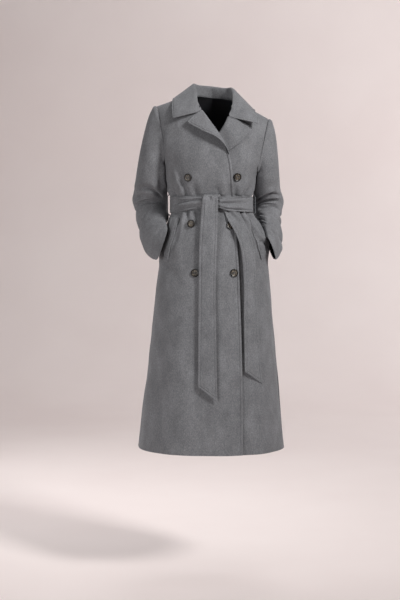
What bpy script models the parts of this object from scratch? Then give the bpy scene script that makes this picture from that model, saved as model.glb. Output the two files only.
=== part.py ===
"""A long double-breasted wrap coat, worn and belted, built as hollow walls of cloth.

Metres, +Z up. The origin is the middle of the neck at the height of the shoulders, the front faces
-Y and the wearer's right is -X. The body is one form, a stack of superellipses below the armpits
that closes to the shoulder seams above them. Each panel is a grid on that form, with a wall of
cloth inside it, and everything that lies on a panel is made from the same form, moved out.
Heights in the tables are those of a coat that hangs level; tilt() leans the shoulders at the end.
"""

import math

import bmesh
import bpy
import numpy as np
from mathutils import Matrix

# Driving dimensions
HEM = -1.177                 # height of the hem under the shoulders
ARMPIT = -0.245
WAIST = -0.362
CLOTH = 0.003                # wall of one layer of coating
SEAM = 0.0003                # gap between sewn pieces
HALF_SEAM = SEAM / 2
SHOULDER_TOP = 0.028         # where the two shoulder lines would meet
SHOULDER_SLOPE = 0.45
NECK_HALF_WIDTH = 0.075
BACK_NECK_ANGLE = 1.13       # how far up the back's curve its neckline lies, in radians
ROUNDNESS = 2.2              # exponent of the horizontal sections
CROWN = 2.2                  # exponent of the curve from the chest to the shoulder seam
SHOULDER_TILT = 0.11         # slope of the leaning shoulders
TILT_START = -0.36
TILT_FULL = -0.20
LAP_STEP = 0.0042            # how deep the under-front lies below the over-front
LAPEL_STEP = 0.0094          # the same where the turned lapel lies between them
LAPEL_STEP_FOOT = -0.32      # height at which the step starts to deepen
LAPEL_STEP_RISE = 0.08
LAP_REACH = 0.045            # how far past the over-front's edge the under-front is still deep
LAP_FADE = 0.040
BELT_WIDTH = 0.054
BELT_CLOTH = 0.0035
BELT_EASE = 0.0017
BELT_PULL = 0.75             # share of the form's flare that the belt presses flat
BELT_PULL_FADE = 0.012       # how soon the form flares out again over and under the belt
BELT_PULL_MARGIN = 0.001     # how far past the belt's edges the form is pressed
KNOT_ROOM = 0.0055           # room behind the belt for the cloth of its knot
BUTTON_RADIUS = 0.0135
BUTTON_THICKNESS = 0.0042
BUTTON_EASE = 0.0001         # air under a button
WELT_CLOTH = 0.0032
WELT_EASE = 0.0012           # air under a pocket's welt
SLEEVE_CLOTH = 0.0025        # wall of a sleeve, thinner so that it stays clean in the elbow's bends
AWAY_SHARE = 0.9             # how far a sleeve's wall leans from its normal towards its middle line
SLEEVE_CLEARANCE = 0.0016    # air between a sleeve and the body above the belt
LOW_CLEARANCE = 0.0054       # the same beside the belt and the welts
LOW_CLEARANCE_RISE = 0.04    # how far over the belt that wider air begins
LOW_CLEARANCE_FADE = 0.03

RIGHT = -1
LEFT = 1
FRONT = -1
BACK = 1


class Table:
    """Rows of named columns, read between rows along a smooth curve of the first column."""

    def __init__(self, columns, *rows):
        self.names = columns.split()
        self.rows = np.array(rows, float)
        self.slopes = np.gradient(self.rows, self.rows[:, 0], axis=0)

    def at(self, key, name):
        """The value of one column at a key, or at an array of keys."""
        column = self.names.index(name)
        keys = self.rows[:, 0]
        key = np.clip(key, keys[0], keys[-1])
        low = np.clip(np.searchsorted(keys, key, side="right") - 1, 0, len(keys) - 2)
        span = keys[low + 1] - keys[low]
        t = (key - keys[low]) / span
        start, end = self.rows[low, column], self.rows[low + 1, column]
        leave, arrive = self.slopes[low, column] * span, self.slopes[low + 1, column] * span
        return (start * (2 * t**3 - 3 * t**2 + 1) + leave * (t**3 - 2 * t**2 + t)
                + end * (3 * t**2 - 2 * t**3) + arrive * (t**3 - t**2))


# Rows of a panel's grid
SKIRT_TOP = -0.50
SKIRT_ROWS = 9
WAIST_ROWS = (-0.462, -0.430, -0.410, -0.393, -0.375, -0.349, -0.331, -0.314, -0.292, -0.268)
YOKE_ROWS = 9
SIDE_SEAM_ANGLE = 1.5        # a row that ends past this angle, in radians, ends on the side seam

# Horizontal sections: half widths to each side, depths to front and back
SECTIONS = Table(
    "z right left front back",
    (-1.180, 0.2500, 0.2450, 0.190, 0.186),
    (-1.050, 0.2360, 0.2340, 0.178, 0.177),
    (-0.900, 0.2165, 0.2210, 0.165, 0.166),
    (-0.700, 0.1945, 0.2010, 0.150, 0.154),
    (-0.550, 0.1755, 0.1870, 0.138, 0.146),
    (-0.480, 0.1640, 0.1780, 0.130, 0.137),
    (-0.430, 0.1530, 0.1580, 0.120, 0.123),
    (-0.400, 0.1435, 0.1400, 0.112, 0.112),
    (-0.362, 0.1365, 0.1320, 0.105, 0.102),
    (-0.325, 0.1440, 0.1380, 0.111, 0.107),
    (-0.290, 0.1530, 0.1450, 0.120, 0.114),
    (-0.245, 0.1580, 0.1500, 0.127, 0.122),
    (-0.220, 0.1660, 0.1610, 0.128, 0.124),
    (-0.180, 0.1780, 0.1760, 0.127, 0.125),
    (-0.120, 0.1920, 0.1920, 0.125, 0.125),
    (-0.050, 0.2020, 0.2040, 0.122, 0.121),
    (0.030, 0.2060, 0.2080, 0.120, 0.118))

# Where each armhole cuts the form, from the armpit to the shoulder seam
ARMHOLE = Table(
    "z right left",
    (-0.245, 0.1580, 0.1500),
    (-0.225, 0.1565, 0.1500),
    (-0.200, 0.1560, 0.1560),
    (-0.147, 0.1645, 0.1680),
    (-0.100, 0.1735, 0.1780),
    (-0.055, 0.1840, 0.1880))

# The inner edges of the two fronts: front edge, then roll line, then neckline
OVER_EDGE = Table(
    "z x",
    (-1.180, 0.100), (-0.930, 0.098), (-0.700, 0.092), (-0.500, 0.083), (-0.361, 0.074),
    (-0.300, 0.069), (-0.250, 0.065), (-0.213, 0.060), (-0.194, 0.055), (-0.172, 0.047),
    (-0.127, 0.021), (-0.090, -0.008), (-0.056, -0.035), (-0.028, -0.056), (-0.006, -0.075))
UNDER_EDGE = Table(
    "z x",
    (-1.180, -0.095), (-0.800, -0.087), (-0.500, -0.076), (-0.361, -0.070), (-0.260, -0.064),
    (-0.222, -0.056), (-0.190, -0.034), (-0.160, -0.008), (-0.127, 0.021), (-0.095, 0.041),
    (-0.067, 0.053), (-0.030, 0.067), (-0.006, 0.075))

# Folds, each a soft ridge (or trough) that leaves the belt at its first point and fades away
FRONT_FOLDS = Table(
    "number x0 z0 x1 z1 half_width height",
    (0, -0.087, -0.333, -0.125, -0.210, 0.012, 0.0045),
    (1, -0.078, -0.333, -0.104, -0.255, 0.007, -0.0030),
    (2, 0.086, -0.333, 0.108, -0.235, 0.012, 0.0040),
    (3, -0.100, -0.391, -0.114, -0.500, 0.011, 0.0040),
    (4, 0.088, -0.391, 0.130, -0.500, 0.012, -0.0035))
BACK_FOLDS = Table(
    "number x0 z0 x1 z1 half_width height",
    (0, -0.070, -0.333, -0.104, -0.180, 0.014, 0.0050),
    (1, 0.060, -0.333, 0.096, -0.190, 0.013, 0.0045),
    (2, -0.052, -0.391, -0.066, -0.540, 0.016, 0.0045),
    (3, 0.050, -0.391, 0.072, -0.520, 0.015, 0.0040))

# The turned lapels, from the gorge down to the break
OVER_LAPEL = Table(
    "along roll_z edge_x edge_z lift",
    (0.00, -0.0580, -0.0800, -0.1085, 0.011),
    (0.25, -0.0860, -0.0320, -0.1320, 0.016),
    (0.50, -0.1150, 0.0050, -0.1455, 0.016),
    (0.72, -0.1440, 0.0310, -0.1625, 0.011),
    (0.90, -0.1720, 0.0480, -0.1825, 0.006),
    (1.00, -0.1900, 0.0530, -0.1950, 0.004))
UNDER_LAPEL = Table(
    "along roll_z edge_x edge_z lift",
    (0.00, -0.0700, 0.1280, -0.0985, 0.0065),
    (0.25, -0.0980, 0.1060, -0.1300, 0.0055),
    (0.45, -0.1250, 0.0840, -0.1550, 0.0028),
    (0.60, -0.1480, 0.0560, -0.1800, 0.0010),
    (0.82, -0.1830, 0.0100, -0.2060, 0.0008),
    (1.00, -0.2180, -0.0480, -0.2230, 0.0008))

# Sections of the collar, from the middle of the back round to its front end: the seam on the
# neckline (its depth follows from the form), how far the stand leans and rises from there to the
# roll, and the outer edge of the fall
COLLAR_RIGHT = Table(
    "along seam_x seam_z lean_x lean_y stand edge_x edge_y edge_z",
    (0.00, 0.0000, 0.0005, 0.000, -0.009, 0.030, 0.000, 0.106, -0.034),
    (0.25, 0.0400, -0.0005, -0.004, 0.001, 0.030, 0.074, 0.093, -0.044),
    (0.50, 0.0745, -0.0060, -0.018, 0.013, 0.031, 0.128, 0.008, -0.022),
    (0.70, 0.0640, -0.0180, -0.013, 0.015, 0.017, 0.133, -0.046, -0.042),
    (0.86, 0.0500, -0.0370, -0.003, 0.006, 0.009, 0.133, -0.080, -0.068),
    (1.00, 0.0370, -0.0535, -0.001, 0.001, 0.004, 0.131, -0.098, -0.096))
COLLAR_LEFT = Table(
    "along seam_x seam_z lean_x lean_y stand edge_x edge_y edge_z",
    (0.00, 0.0000, 0.0005, 0.000, -0.009, 0.030, 0.000, 0.106, -0.034),
    (0.25, 0.0420, -0.0005, -0.003, 0.001, 0.030, 0.078, 0.093, -0.046),
    (0.50, 0.0745, -0.0060, -0.013, 0.013, 0.033, 0.137, 0.008, -0.028),
    (0.70, 0.0710, -0.0180, -0.005, 0.012, 0.020, 0.145, -0.044, -0.049),
    (0.86, 0.0640, -0.0400, -0.001, 0.005, 0.008, 0.150, -0.077, -0.068),
    (1.00, 0.0545, -0.0630, -0.001, 0.001, 0.004, 0.148, -0.096, -0.091))
ROLL_RADIUS = 0.0055         # outer radius of the bend from the stand to the fall
FULL_STAND = 0.026           # a stand lower than this has a tighter bend
LOW_ROLL_LESS = 0.0010       # by how much at its front ends
FRONT_END_LIFT = 0.0006      # how far the front ends stand higher over the coat
COLLAR_CLEARANCE = 0.0022    # air between the fall and the coat
SLOPE_SHARE = 1.25           # that air over the yoke's slope, as a share of the same on the level
STAND_CLEARANCE = 0.0010     # air under the stand
OVER_LAPEL_EASE = 0.0011     # air under a lapel's roll at the gorge
UNDER_LAPEL_EASE = 0.0019
EASE_LOSS = 0.35             # share of it that is gone at the break

# Rings of the sleeves from the cap to the cuff: centre, half width outwards, half depth to the
# front, how far the outer side rises over the centre, how far the front side does, and how far
# the front side lies inwards
RIGHT_SLEEVE = Table(
    "ring x y z out front rise lean inwards",
    (1, 0.2020, 0.008, -0.245, 0.0420, 0.062, 0.021, 0.000, 0.000),
    (2, 0.2050, 0.040, -0.305, 0.0540, 0.061, 0.012, -0.010, 0.000),
    (3, 0.2085, 0.074, -0.352, 0.0580, 0.057, 0.002, 0.006, 0.000),
    (4, 0.2040, 0.070, -0.389, 0.0550, 0.052, -0.006, 0.024, 0.002),
    (5, 0.1965, 0.038, -0.424, 0.0505, 0.047, -0.020, 0.030, 0.006),
    (6, 0.1915, -0.004, -0.452, 0.0430, 0.042, -0.035, 0.028, 0.010),
    (7, 0.1820, -0.044, -0.477, 0.0325, 0.037, -0.045, 0.024, 0.012),
    (8, 0.1600, -0.070, -0.496, 0.0240, 0.034, -0.053, 0.012, 0.010))
LEFT_SLEEVE = Table(
    "ring x y z out front rise lean inwards",
    (1, 0.1880, 0.010, -0.245, 0.0370, 0.062, 0.019, 0.000, 0.000),
    (2, 0.1860, 0.042, -0.303, 0.0450, 0.061, 0.010, -0.010, 0.000),
    (3, 0.1895, 0.076, -0.350, 0.0510, 0.057, 0.003, 0.006, 0.000),
    (4, 0.1895, 0.074, -0.389, 0.0490, 0.052, -0.002, 0.022, 0.002),
    (5, 0.1940, 0.044, -0.430, 0.0410, 0.046, -0.010, 0.028, 0.005),
    (6, 0.1990, 0.006, -0.463, 0.0365, 0.042, -0.024, 0.026, 0.006),
    (7, 0.1960, -0.026, -0.488, 0.0320, 0.037, -0.034, 0.022, 0.004),
    (8, 0.1860, -0.050, -0.509, 0.0260, 0.035, -0.037, 0.018, 0.002))
CAP_RINGS = 5
CAP_REACH = Table("height reach", (-1.0, 0.0040), (0.0, 0.0130), (1.0, 0.0300))
TUBE_RINGS = 14
# Folds across the sleeves: where along the rings, the side they are deepest on (degrees from the
# outer side towards the front), their reach round the sleeve, their half width in rings, depth
RIGHT_SLEEVE_FOLDS = Table(
    "number ring angle reach half_width height",
    (0, 2.55, 95, 85, 0.28, -0.0075),
    (1, 3.25, 60, 80, 0.30, 0.0040),
    (2, 5.05, 100, 70, 0.30, -0.0045))
LEFT_SLEEVE_FOLDS = Table(
    "number ring angle reach half_width height",
    (0, 2.65, 80, 90, 0.28, -0.0070),
    (1, 3.30, 60, 80, 0.28, -0.0045),
    (2, 5.00, 110, 70, 0.30, -0.0040))

# The slanted welts of the pockets: outer and inner edge
RIGHT_WELT = Table(
    "along outer_x outer_z inner_x inner_z",
    (0.0, -0.1290, -0.404, -0.1080, -0.408),
    (0.5, -0.1450, -0.460, -0.1250, -0.474),
    (1.0, -0.1600, -0.520, -0.1430, -0.545))
LEFT_WELT = Table(
    "along outer_x outer_z inner_x inner_z",
    (0.0, 0.1320, -0.404, 0.1120, -0.408),
    (0.5, 0.1520, -0.460, 0.1320, -0.474),
    (1.0, 0.1720, -0.520, 0.1540, -0.545))

# The hanging ends of the belt: their edges, how far their underside is off the coat, their crown
RIGHT_TAIL = Table(
    "along right_x right_z left_x left_z lift crown",
    (0.00, -0.0315, -0.3330, 0.0175, -0.3330, 0.0166, 0.0010),
    (0.08, -0.0340, -0.3850, 0.0168, -0.3850, 0.0166, 0.0015),
    (0.22, -0.0400, -0.4700, 0.0145, -0.4720, 0.0125, 0.0015),
    (0.45, -0.0435, -0.6100, 0.0105, -0.6150, 0.0095, 0.0010),
    (0.80, -0.0450, -0.8250, 0.0130, -0.8500, 0.0085, 0.0008),
    (1.00, -0.0458, -0.9520, 0.0150, -1.0000, 0.0080, 0.0005))
LEFT_TAIL = Table(
    "along right_x right_z left_x left_z lift crown",
    (0.00, 0.0300, -0.3560, 0.0800, -0.3560, 0.0011, 0.0000),
    (0.06, 0.0410, -0.3900, 0.0890, -0.3900, 0.0011, 0.0000),
    (0.11, 0.0540, -0.4120, 0.0970, -0.4140, 0.0060, 0.0006),
    (0.17, 0.0730, -0.4420, 0.1110, -0.4450, 0.0072, 0.0020),
    (0.27, 0.0870, -0.4900, 0.1250, -0.4950, 0.0085, 0.0045),
    (0.46, 0.0960, -0.6000, 0.1345, -0.6050, 0.0080, 0.0045),
    (0.70, 0.0990, -0.7400, 0.1440, -0.7500, 0.0080, 0.0020),
    (1.00, 0.1030, -0.9050, 0.1590, -0.9480, 0.0080, 0.0005))

KNOT_ROOM_RIGHT_X = -0.050   # where the belt stands off to make room for its knot, and its end
KNOT_ROOM_LEFT_X = 0.108
KNOT_ROOM_FADE = 0.016
KNOT_RIGHT_X = -0.0300
KNOT_LEFT_X = 0.0240
KNOT_SQUARENESS = 0.4        # exponent of its ring round the belt
KNOT_CLOTH = 0.0032
KNOT_MARGIN = 0.0020         # the knot's ring outside the belt's section
LOOP_RADIUS = 0.0011
LOOP_STAND_OFF = 0.0035
LOOP_OVERHANG = 0.010        # how far a loop's ends lie over and under the belt
LOOP_BEND = 0.30             # share of its half span in which it comes off the seam
TAIL_BUNCHING = 1.4          # exponent that sets a hanging end's rows closer near the knot

# Buttons: columns are named for the wearer's side they stand on
BUTTONS = {
    "button_right_top": (-0.0790, -0.279),
    "button_right_middle": (-0.0680, -0.426),
    "button_right_low": (-0.0570, -0.585),
    "button_left_top": (0.0840, -0.268),
    "button_left_middle": (0.0585, -0.431),
    "button_left_low": (0.0700, -0.585)}
BUTTON_SINK = 0.0009         # depth of the dished middle
BUTTON_SIDES = 24
BUTTON_HOLE_RADIUS = 0.0012
BUTTON_HOLE_REACH = 0.0027

WOOL = ("grey_wool", (0.150, 0.152, 0.158), 0.92)
HORN = ("dark_horn", (0.035, 0.028, 0.022), 0.35)


def smooth(t):
    """An S-curve from 0 to 1."""
    t = np.clip(t, 0.0, 1.0)
    return t * t * (3 - 2 * t)


def signed_power(value, exponent):
    """A power that keeps the value's sign."""
    return np.sign(value) * np.abs(value) ** exponent


def shoulder_line(x):
    """Height of the shoulder seam over a place across the body."""
    return SHOULDER_TOP - SHOULDER_SLOPE * np.abs(x)


def girt(z):
    """The height whose section holds at a height, with the form pressed flat under the belt."""
    off = z - WAIST
    half = BELT_WIDTH / 2 + BELT_PULL_MARGIN
    past = np.maximum(np.abs(off) - half, 0)
    pressed = np.minimum(np.abs(off), half) * BELT_PULL * np.exp(-past / BELT_PULL_FADE)
    return z - np.sign(off) * pressed


def half_width(x, z):
    """Half width of the section at a height, on the side that x is on."""
    z = girt(z)
    return np.where(np.asarray(x) < 0, SECTIONS.at(z, "right"), SECTIONS.at(z, "left"))


def depth(side, z):
    """Depth of the section at a height, to the front or to the back."""
    return SECTIONS.at(girt(z), "front" if side == FRONT else "back")


def station_height(x, station):
    """Height of a station: metres under the armpit below 0, radians up to the shoulder above."""
    rise = np.abs(np.sin(np.clip(station, 0, None))) ** (2 / CROWN)
    over = ARMPIT + rise * (shoulder_line(x) - ARMPIT)
    return np.where(np.asarray(station) > 0, over, ARMPIT + station)


def height_station(x, z):
    """The station of a height, the inverse of station_height."""
    rise = np.clip((z - ARMPIT) / (shoulder_line(x) - ARMPIT), 0, 1)
    return np.where(z > ARMPIT, np.arcsin(rise ** (CROWN / 2)), z - ARMPIT)


def form_point(angle, station, side):
    """A point of the form: angle across it from its middle, station up it, front or back."""
    angle, station = np.broadcast_arrays(np.asarray(angle, float), np.asarray(station, float))
    x = np.zeros(angle.shape)
    for _ in range(5):
        z = station_height(x, station)
        x = half_width(np.sin(angle), z) * signed_power(np.sin(angle), 2 / ROUNDNESS)
    crown = signed_power(np.cos(np.clip(station, 0, None)), 2 / CROWN)
    y = side * depth(side, z) * signed_power(np.cos(angle), 2 / ROUNDNESS) * crown
    return np.stack([x, y, z], -1)


def form_angle(x, z):
    """The angle across the form of a place x at a height."""
    share = np.clip(np.abs(x) / half_width(x, z), 0, 1)
    return np.sign(x) * np.arcsin(share ** (ROUNDNESS / 2))


def form_normal(angle, station, side):
    """The outward normal of the form."""
    step = 1e-4
    across = form_point(angle + step, station, side) - form_point(angle - step, station, side)
    up = form_point(angle, station + step, side) - form_point(angle, station - step, side)
    normal = -side * np.cross(across, up)
    return normal / np.linalg.norm(normal, axis=-1, keepdims=True)


def on_form(x, z, side, lift):
    """Points over places (x, z) of the form, moved out by a lift."""
    x, z, lift = np.broadcast_arrays(*(np.asarray(v, float) for v in (x, z, lift)))
    angle = form_angle(x, z)
    station = height_station(x, z)
    return form_point(angle, station, side) + form_normal(angle, station, side) * lift[..., None]


def tilt(points):
    """Lean the shoulders: a smooth shear that fades out at the waist."""
    leaned = np.array(points, float)
    share = smooth((leaned[..., 2] - TILT_START) / (TILT_FULL - TILT_START))
    leaned[..., 2] -= SHOULDER_TILT * leaned[..., 0] * share
    return leaned


def fold_height(folds, x, z):
    """Height of the folds at places of a panel; each fold fades towards its ends."""
    total = np.zeros(np.shape(x))
    for _, x0, z0, x1, z1, half_width_of_fold, height in folds.rows:
        along_x, along_z = x1 - x0, z1 - z0
        length = math.hypot(along_x, along_z)
        along = ((x - x0) * along_x + (z - z0) * along_z) / length**2
        across = ((x - x0) * along_z - (z - z0) * along_x) / length
        shape = np.exp(-(across / half_width_of_fold) ** 2)
        total += height * shape * smooth(along * 8) * smooth((1 - along) * 1.6)
    return total


def under_lap(x, z):
    """How deep the under-front lies below the form, under the over-front's edge."""
    deeper = smooth((z - LAPEL_STEP_FOOT) / LAPEL_STEP_RISE)
    step = LAP_STEP + (LAPEL_STEP - LAP_STEP) * deeper
    return step * smooth((OVER_EDGE.at(z, "x") + LAP_REACH - x) / LAP_FADE)


def panel_lift(is_under, x, z):
    """How far the over-front, or the under-front, lies off the form."""
    lift = fold_height(FRONT_FOLDS, x, z)
    return lift - under_lap(x, z) if is_under else lift


def make_object(name, mesh_data, finish, smooth_shading=True):
    """Link a mesh as one named object with its own Principled material."""
    material_name, color, roughness = finish
    mesh = bpy.data.meshes.new(name)
    mesh_data.to_mesh(mesh)
    mesh_data.free()
    part = bpy.data.objects.new(name, mesh)
    bpy.context.scene.collection.objects.link(part)
    material = bpy.data.materials.new(f"{material_name}_{name}")
    material.use_nodes = True
    shader = material.node_tree.nodes["Principled BSDF"]
    shader.inputs["Base Color"].default_value = (*color, 1.0)
    shader.inputs["Roughness"].default_value = roughness
    shader.inputs["Metallic"].default_value = 0.0
    mesh.materials.append(material)
    if smooth_shading:
        mesh.shade_smooth()
        mesh.set_sharp_from_angle(angle=math.radians(50))
    return part


def make_wall(name, outer, inner, ring=False):
    """A closed wall of cloth between two grids of points, rows x columns; a ring joins columns."""
    rows, columns = outer.shape[:2]
    shell = bmesh.new()
    faces = [[[shell.verts.new(point) for point in row] for row in layer] for layer in (outer, inner)]
    face, lining = faces
    spans = [(c, (c + 1) % columns) for c in range(columns if ring else columns - 1)]
    for r in range(rows - 1):
        for c, d in spans:
            shell.faces.new((face[r][c], face[r][d], face[r + 1][d], face[r + 1][c]))
            shell.faces.new((lining[r][c], lining[r + 1][c], lining[r + 1][d], lining[r][d]))
    for c, d in spans:
        shell.faces.new((face[0][d], face[0][c], lining[0][c], lining[0][d]))
        shell.faces.new((face[-1][c], face[-1][d], lining[-1][d], lining[-1][c]))
    if not ring:
        for r in range(rows - 1):
            shell.faces.new((face[r][0], face[r + 1][0], lining[r + 1][0], lining[r][0]))
            shell.faces.new((face[r + 1][-1], face[r][-1], lining[r][-1], lining[r + 1][-1]))
    bmesh.ops.triangulate(shell, faces=shell.faces[:], quad_method="SHORT_EDGE")
    bmesh.ops.recalc_face_normals(shell, faces=shell.faces[:])
    return make_object(name, shell, WOOL)


def panel_stations():
    """Stations of a panel's rows: the skirt, the belted waist and the yoke."""
    skirt = np.linspace(HEM, SKIRT_TOP, SKIRT_ROWS)
    yoke = np.linspace(0, math.pi / 2, YOKE_ROWS)
    return np.concatenate([skirt - ARMPIT, np.array(WAIST_ROWS) - ARMPIT, yoke])


def edge_place(edge, station, x_name="x", flip=1):
    """Where an edge that is given by height meets a station: its x and z."""
    x = 0.0
    for _ in range(12):
        z = float(station_height(x, station))
        x = flip * float(edge.at(z, x_name))
    return x, z


def outer_place(side_sign, station):
    """The outer end of a row: the side seam, or the armhole above it."""
    if station <= 0:
        z = ARMPIT + station
        return side_sign * float(half_width(side_sign, z)), z
    return edge_place(ARMHOLE, station, "right" if side_sign == RIGHT else "left", side_sign)


def panel_angles(station, start, end, columns):
    """Angles of a row's points between its two ends, given as places."""
    first, last = form_angle(*start), form_angle(*end)
    if station <= 0:
        first, last = (math.copysign(math.pi / 2, end) if abs(end) > SIDE_SEAM_ANGLE else end
                       for end in (first, last))
    return np.linspace(first, last, columns)


def trim_edges(grid):
    """Draw a panel's four edges in by half a seam."""
    trimmed = grid.copy()
    for edge, inner in (((0,), (1,)), ((-1,), (-2,))):
        step = grid[inner] - grid[edge]
        trimmed[edge] += HALF_SEAM * step / np.linalg.norm(step, axis=-1, keepdims=True)
    for edge, inner in ((0, 1), (-1, -2)):
        step = grid[:, inner] - grid[:, edge]
        trimmed[:, edge] += HALF_SEAM * step / np.linalg.norm(step, axis=-1, keepdims=True)
    return trimmed


def front_panel(side_sign, columns=11):
    """Grid and normals of a front, from its inner edge out to the side seam and the armhole."""
    is_under = side_sign == LEFT
    edge = UNDER_EDGE if is_under else OVER_EDGE
    stations = panel_stations()
    angles = np.array([panel_angles(s, edge_place(edge, s), outer_place(side_sign, s), columns)
                       for s in stations])
    stations = np.repeat(stations[:, None], columns, axis=1)
    grid = form_point(angles, stations, FRONT)
    normals = form_normal(angles, stations, FRONT)
    lift = panel_lift(is_under, grid[..., 0], grid[..., 2])
    return trim_edges(grid + normals * lift[..., None]), normals


def back_panel(columns=17):
    """Grid and normals of the back, from the right side seam to the left one."""
    stations = panel_stations()
    angles = np.array([panel_angles(s, outer_place(RIGHT, s), outer_place(LEFT, s), columns)
                       for s in stations])
    stations = np.repeat(stations[:, None], columns, axis=1)
    across = np.clip(form_point(angles, stations, BACK)[..., 0] / NECK_HALF_WIDTH, -1, 1)
    neck = 1 - (1 - BACK_NECK_ANGLE / (math.pi / 2)) * np.sqrt(1 - across**2)
    stations = np.where(stations > 0, stations * neck, stations)
    grid = form_point(angles, stations, BACK)
    normals = form_normal(angles, stations, BACK)
    lift = fold_height(BACK_FOLDS, grid[..., 0], grid[..., 2])
    return trim_edges(grid + normals * lift[..., None]), normals


def make_panel(name, panel):
    """A panel of cloth with its wall inside the form."""
    grid, normals = panel
    return make_wall(name, tilt(grid), tilt(grid - normals * CLOTH))


def armhole_ring(side_sign):
    """The armhole's edge round from the armpit up the front to the shoulder and down the back."""
    stations = panel_stations()
    stations = stations[stations >= 0]
    places = [outer_place(side_sign, s) for s in stations]
    rings = []
    for side in (FRONT, BACK):
        angles = np.array([panel_angles(s, p, p, 2)[0] for s, p in zip(stations, places)])
        rings.append(form_point(angles, stations, side))
    front, back = rings
    return np.concatenate([front, back[-2:0:-1]])


def press_flat(ring):
    """Press a sleeve's ring flatter, towards its outer side, until it clears the body's form."""
    x, y, z = np.abs(ring[:, 0]), ring[:, 1], ring[:, 2]
    low = smooth((WAIST + BELT_WIDTH / 2 + LOW_CLEARANCE_RISE - z) / LOW_CLEARANCE_FADE)
    clearance = SLEEVE_CLEARANCE + (LOW_CLEARANCE - SLEEVE_CLEARANCE) * low
    side_depth = np.where(y < 0, depth(FRONT, z), depth(BACK, z)) + clearance
    share = 1 - np.clip(np.abs(y) / side_depth, 0, 1) ** ROUNDNESS
    least = np.where(z < ARMPIT, half_width(ring[:, 0], z) + clearance, 0) * share ** (1 / ROUNDNESS)
    outer = x.max()
    room = np.where(x < least, (outer - least) / np.maximum(outer - x, 1e-6), 1.0)
    pressed = ring.copy()
    pressed[:, 0] = np.sign(ring[:, 0]) * (outer - (outer - x) * room.min())
    return pressed


def clear_of_yoke(points, clearance):
    """Move points that lie nearer to the chest and shoulders than a clearance away from them."""
    x, y, over = points[..., 0], points[..., 1], points[..., 2] - ARMPIT
    side_depth = np.where(y < 0, depth(FRONT, points[..., 2]), depth(BACK, points[..., 2]))
    share = np.clip(np.abs(x) / half_width(x, points[..., 2]), 0, 0.999)
    side_depth = side_depth * (1 - share**ROUNDNESS) ** (1 / ROUNDNESS)
    rise = over / (shoulder_line(x) - ARMPIT)
    reach = (np.abs(y / side_depth) ** CROWN + np.abs(rise) ** CROWN) ** (1 / CROWN)
    least = 1 + SLOPE_SHARE * clearance / np.hypot(y, over)
    scale = np.maximum(least / reach, 1.0)
    moved = points.copy()
    moved[..., 1] = y * scale
    moved[..., 2] = ARMPIT + over * scale
    return moved


def sleeve_rings(side_sign, table, folds):
    """Rings of a sleeve, from the armhole over the cap and down to the cuff."""
    armhole = armhole_ring(side_sign)
    count = len(armhole)
    turn = math.pi - 2 * math.pi * np.arange(count) / count
    middle = armhole.mean(axis=0)
    radial = armhole - middle
    radial[:, 0] = 0
    radial /= np.linalg.norm(radial, axis=1, keepdims=True)

    def tube(ring):
        centre = np.array([side_sign * table.at(ring, "x"), table.at(ring, "y"), table.at(ring, "z")])
        outwards = np.array([side_sign * table.at(ring, "out"), 0, table.at(ring, "rise")])
        forwards = np.array([-side_sign * table.at(ring, "inwards"), -table.at(ring, "front"),
                             table.at(ring, "lean")])
        round_ = centre + np.cos(turn)[:, None] * outwards + np.sin(turn)[:, None] * forwards
        away = (round_ - centre) / np.linalg.norm(round_ - centre, axis=1, keepdims=True)
        lift = np.zeros(count)
        for _, place, angle, reach, half_width_of_fold, height in folds.rows:
            gap = np.degrees(turn) - angle
            gap = (gap + 180) % 360 - 180
            lift += (height * math.exp(-((ring - place) / half_width_of_fold) ** 2)
                     * np.exp(-((gap / reach) ** 2)))
        return round_ + away * lift[:, None]

    start = armhole + np.array([side_sign * SEAM, 0, 0])
    first = tube(1)
    reach = CAP_REACH.at(radial[:, 2], "reach")
    control = start + np.array([side_sign, 0, 0]) * reach[:, None]
    rings = [(1 - b)**2 * start + 2 * b * (1 - b) * control + b**2 * first
             for b in np.linspace(0, 1, CAP_RINGS + 1)[:-1]]
    last_ring = table.rows[-1, 0]
    rings += [tube(ring) for ring in np.linspace(1, last_ring, TUBE_RINGS)]
    grid = np.array(rings[:CAP_RINGS] + [press_flat(ring) for ring in rings[CAP_RINGS:]])
    return grid, radial


def make_sleeve(name, side_sign, table, folds):
    """A sleeve: a bent tube of cloth, open at the armhole and at the cuff."""
    grid, radial = sleeve_rings(side_sign, table, folds)
    away = grid - grid.mean(axis=1, keepdims=True)
    away /= np.linalg.norm(away, axis=-1, keepdims=True)
    along = np.gradient(grid, axis=0)
    across = (np.roll(grid, -1, axis=1) - np.roll(grid, 1, axis=1)) / 2
    normal = np.cross(across, along)
    normal /= np.linalg.norm(normal, axis=-1, keepdims=True)
    normal *= np.sign(np.sum(normal * away))
    inwards = normal + AWAY_SHARE * away
    inwards /= np.linalg.norm(inwards, axis=-1, keepdims=True)
    inwards[0] = radial
    return make_wall(name, tilt(grid), tilt(grid - inwards * SLEEVE_CLOTH), ring=True)


def lapel_grid(table, edge, ease, rows, columns, below):
    """The face of a turned lapel: from its roll line, row by row, out to its free edge."""
    along = np.linspace(0, 1, rows)[:, None]
    out = np.linspace(0, 1, columns)[None, :]
    roll_z = table.at(along, "roll_z")
    roll_x = edge.at(roll_z, "x")
    x = roll_x + (table.at(along, "edge_x") - roll_x) * out
    z = roll_z + (table.at(along, "edge_z") - roll_z) * out
    low = ease * (1 - EASE_LOSS * along**2)
    lift = low + (table.at(along, "lift") - low) * np.sin(out * math.pi / 2) - below(x, z)
    return x, z, lift


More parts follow.
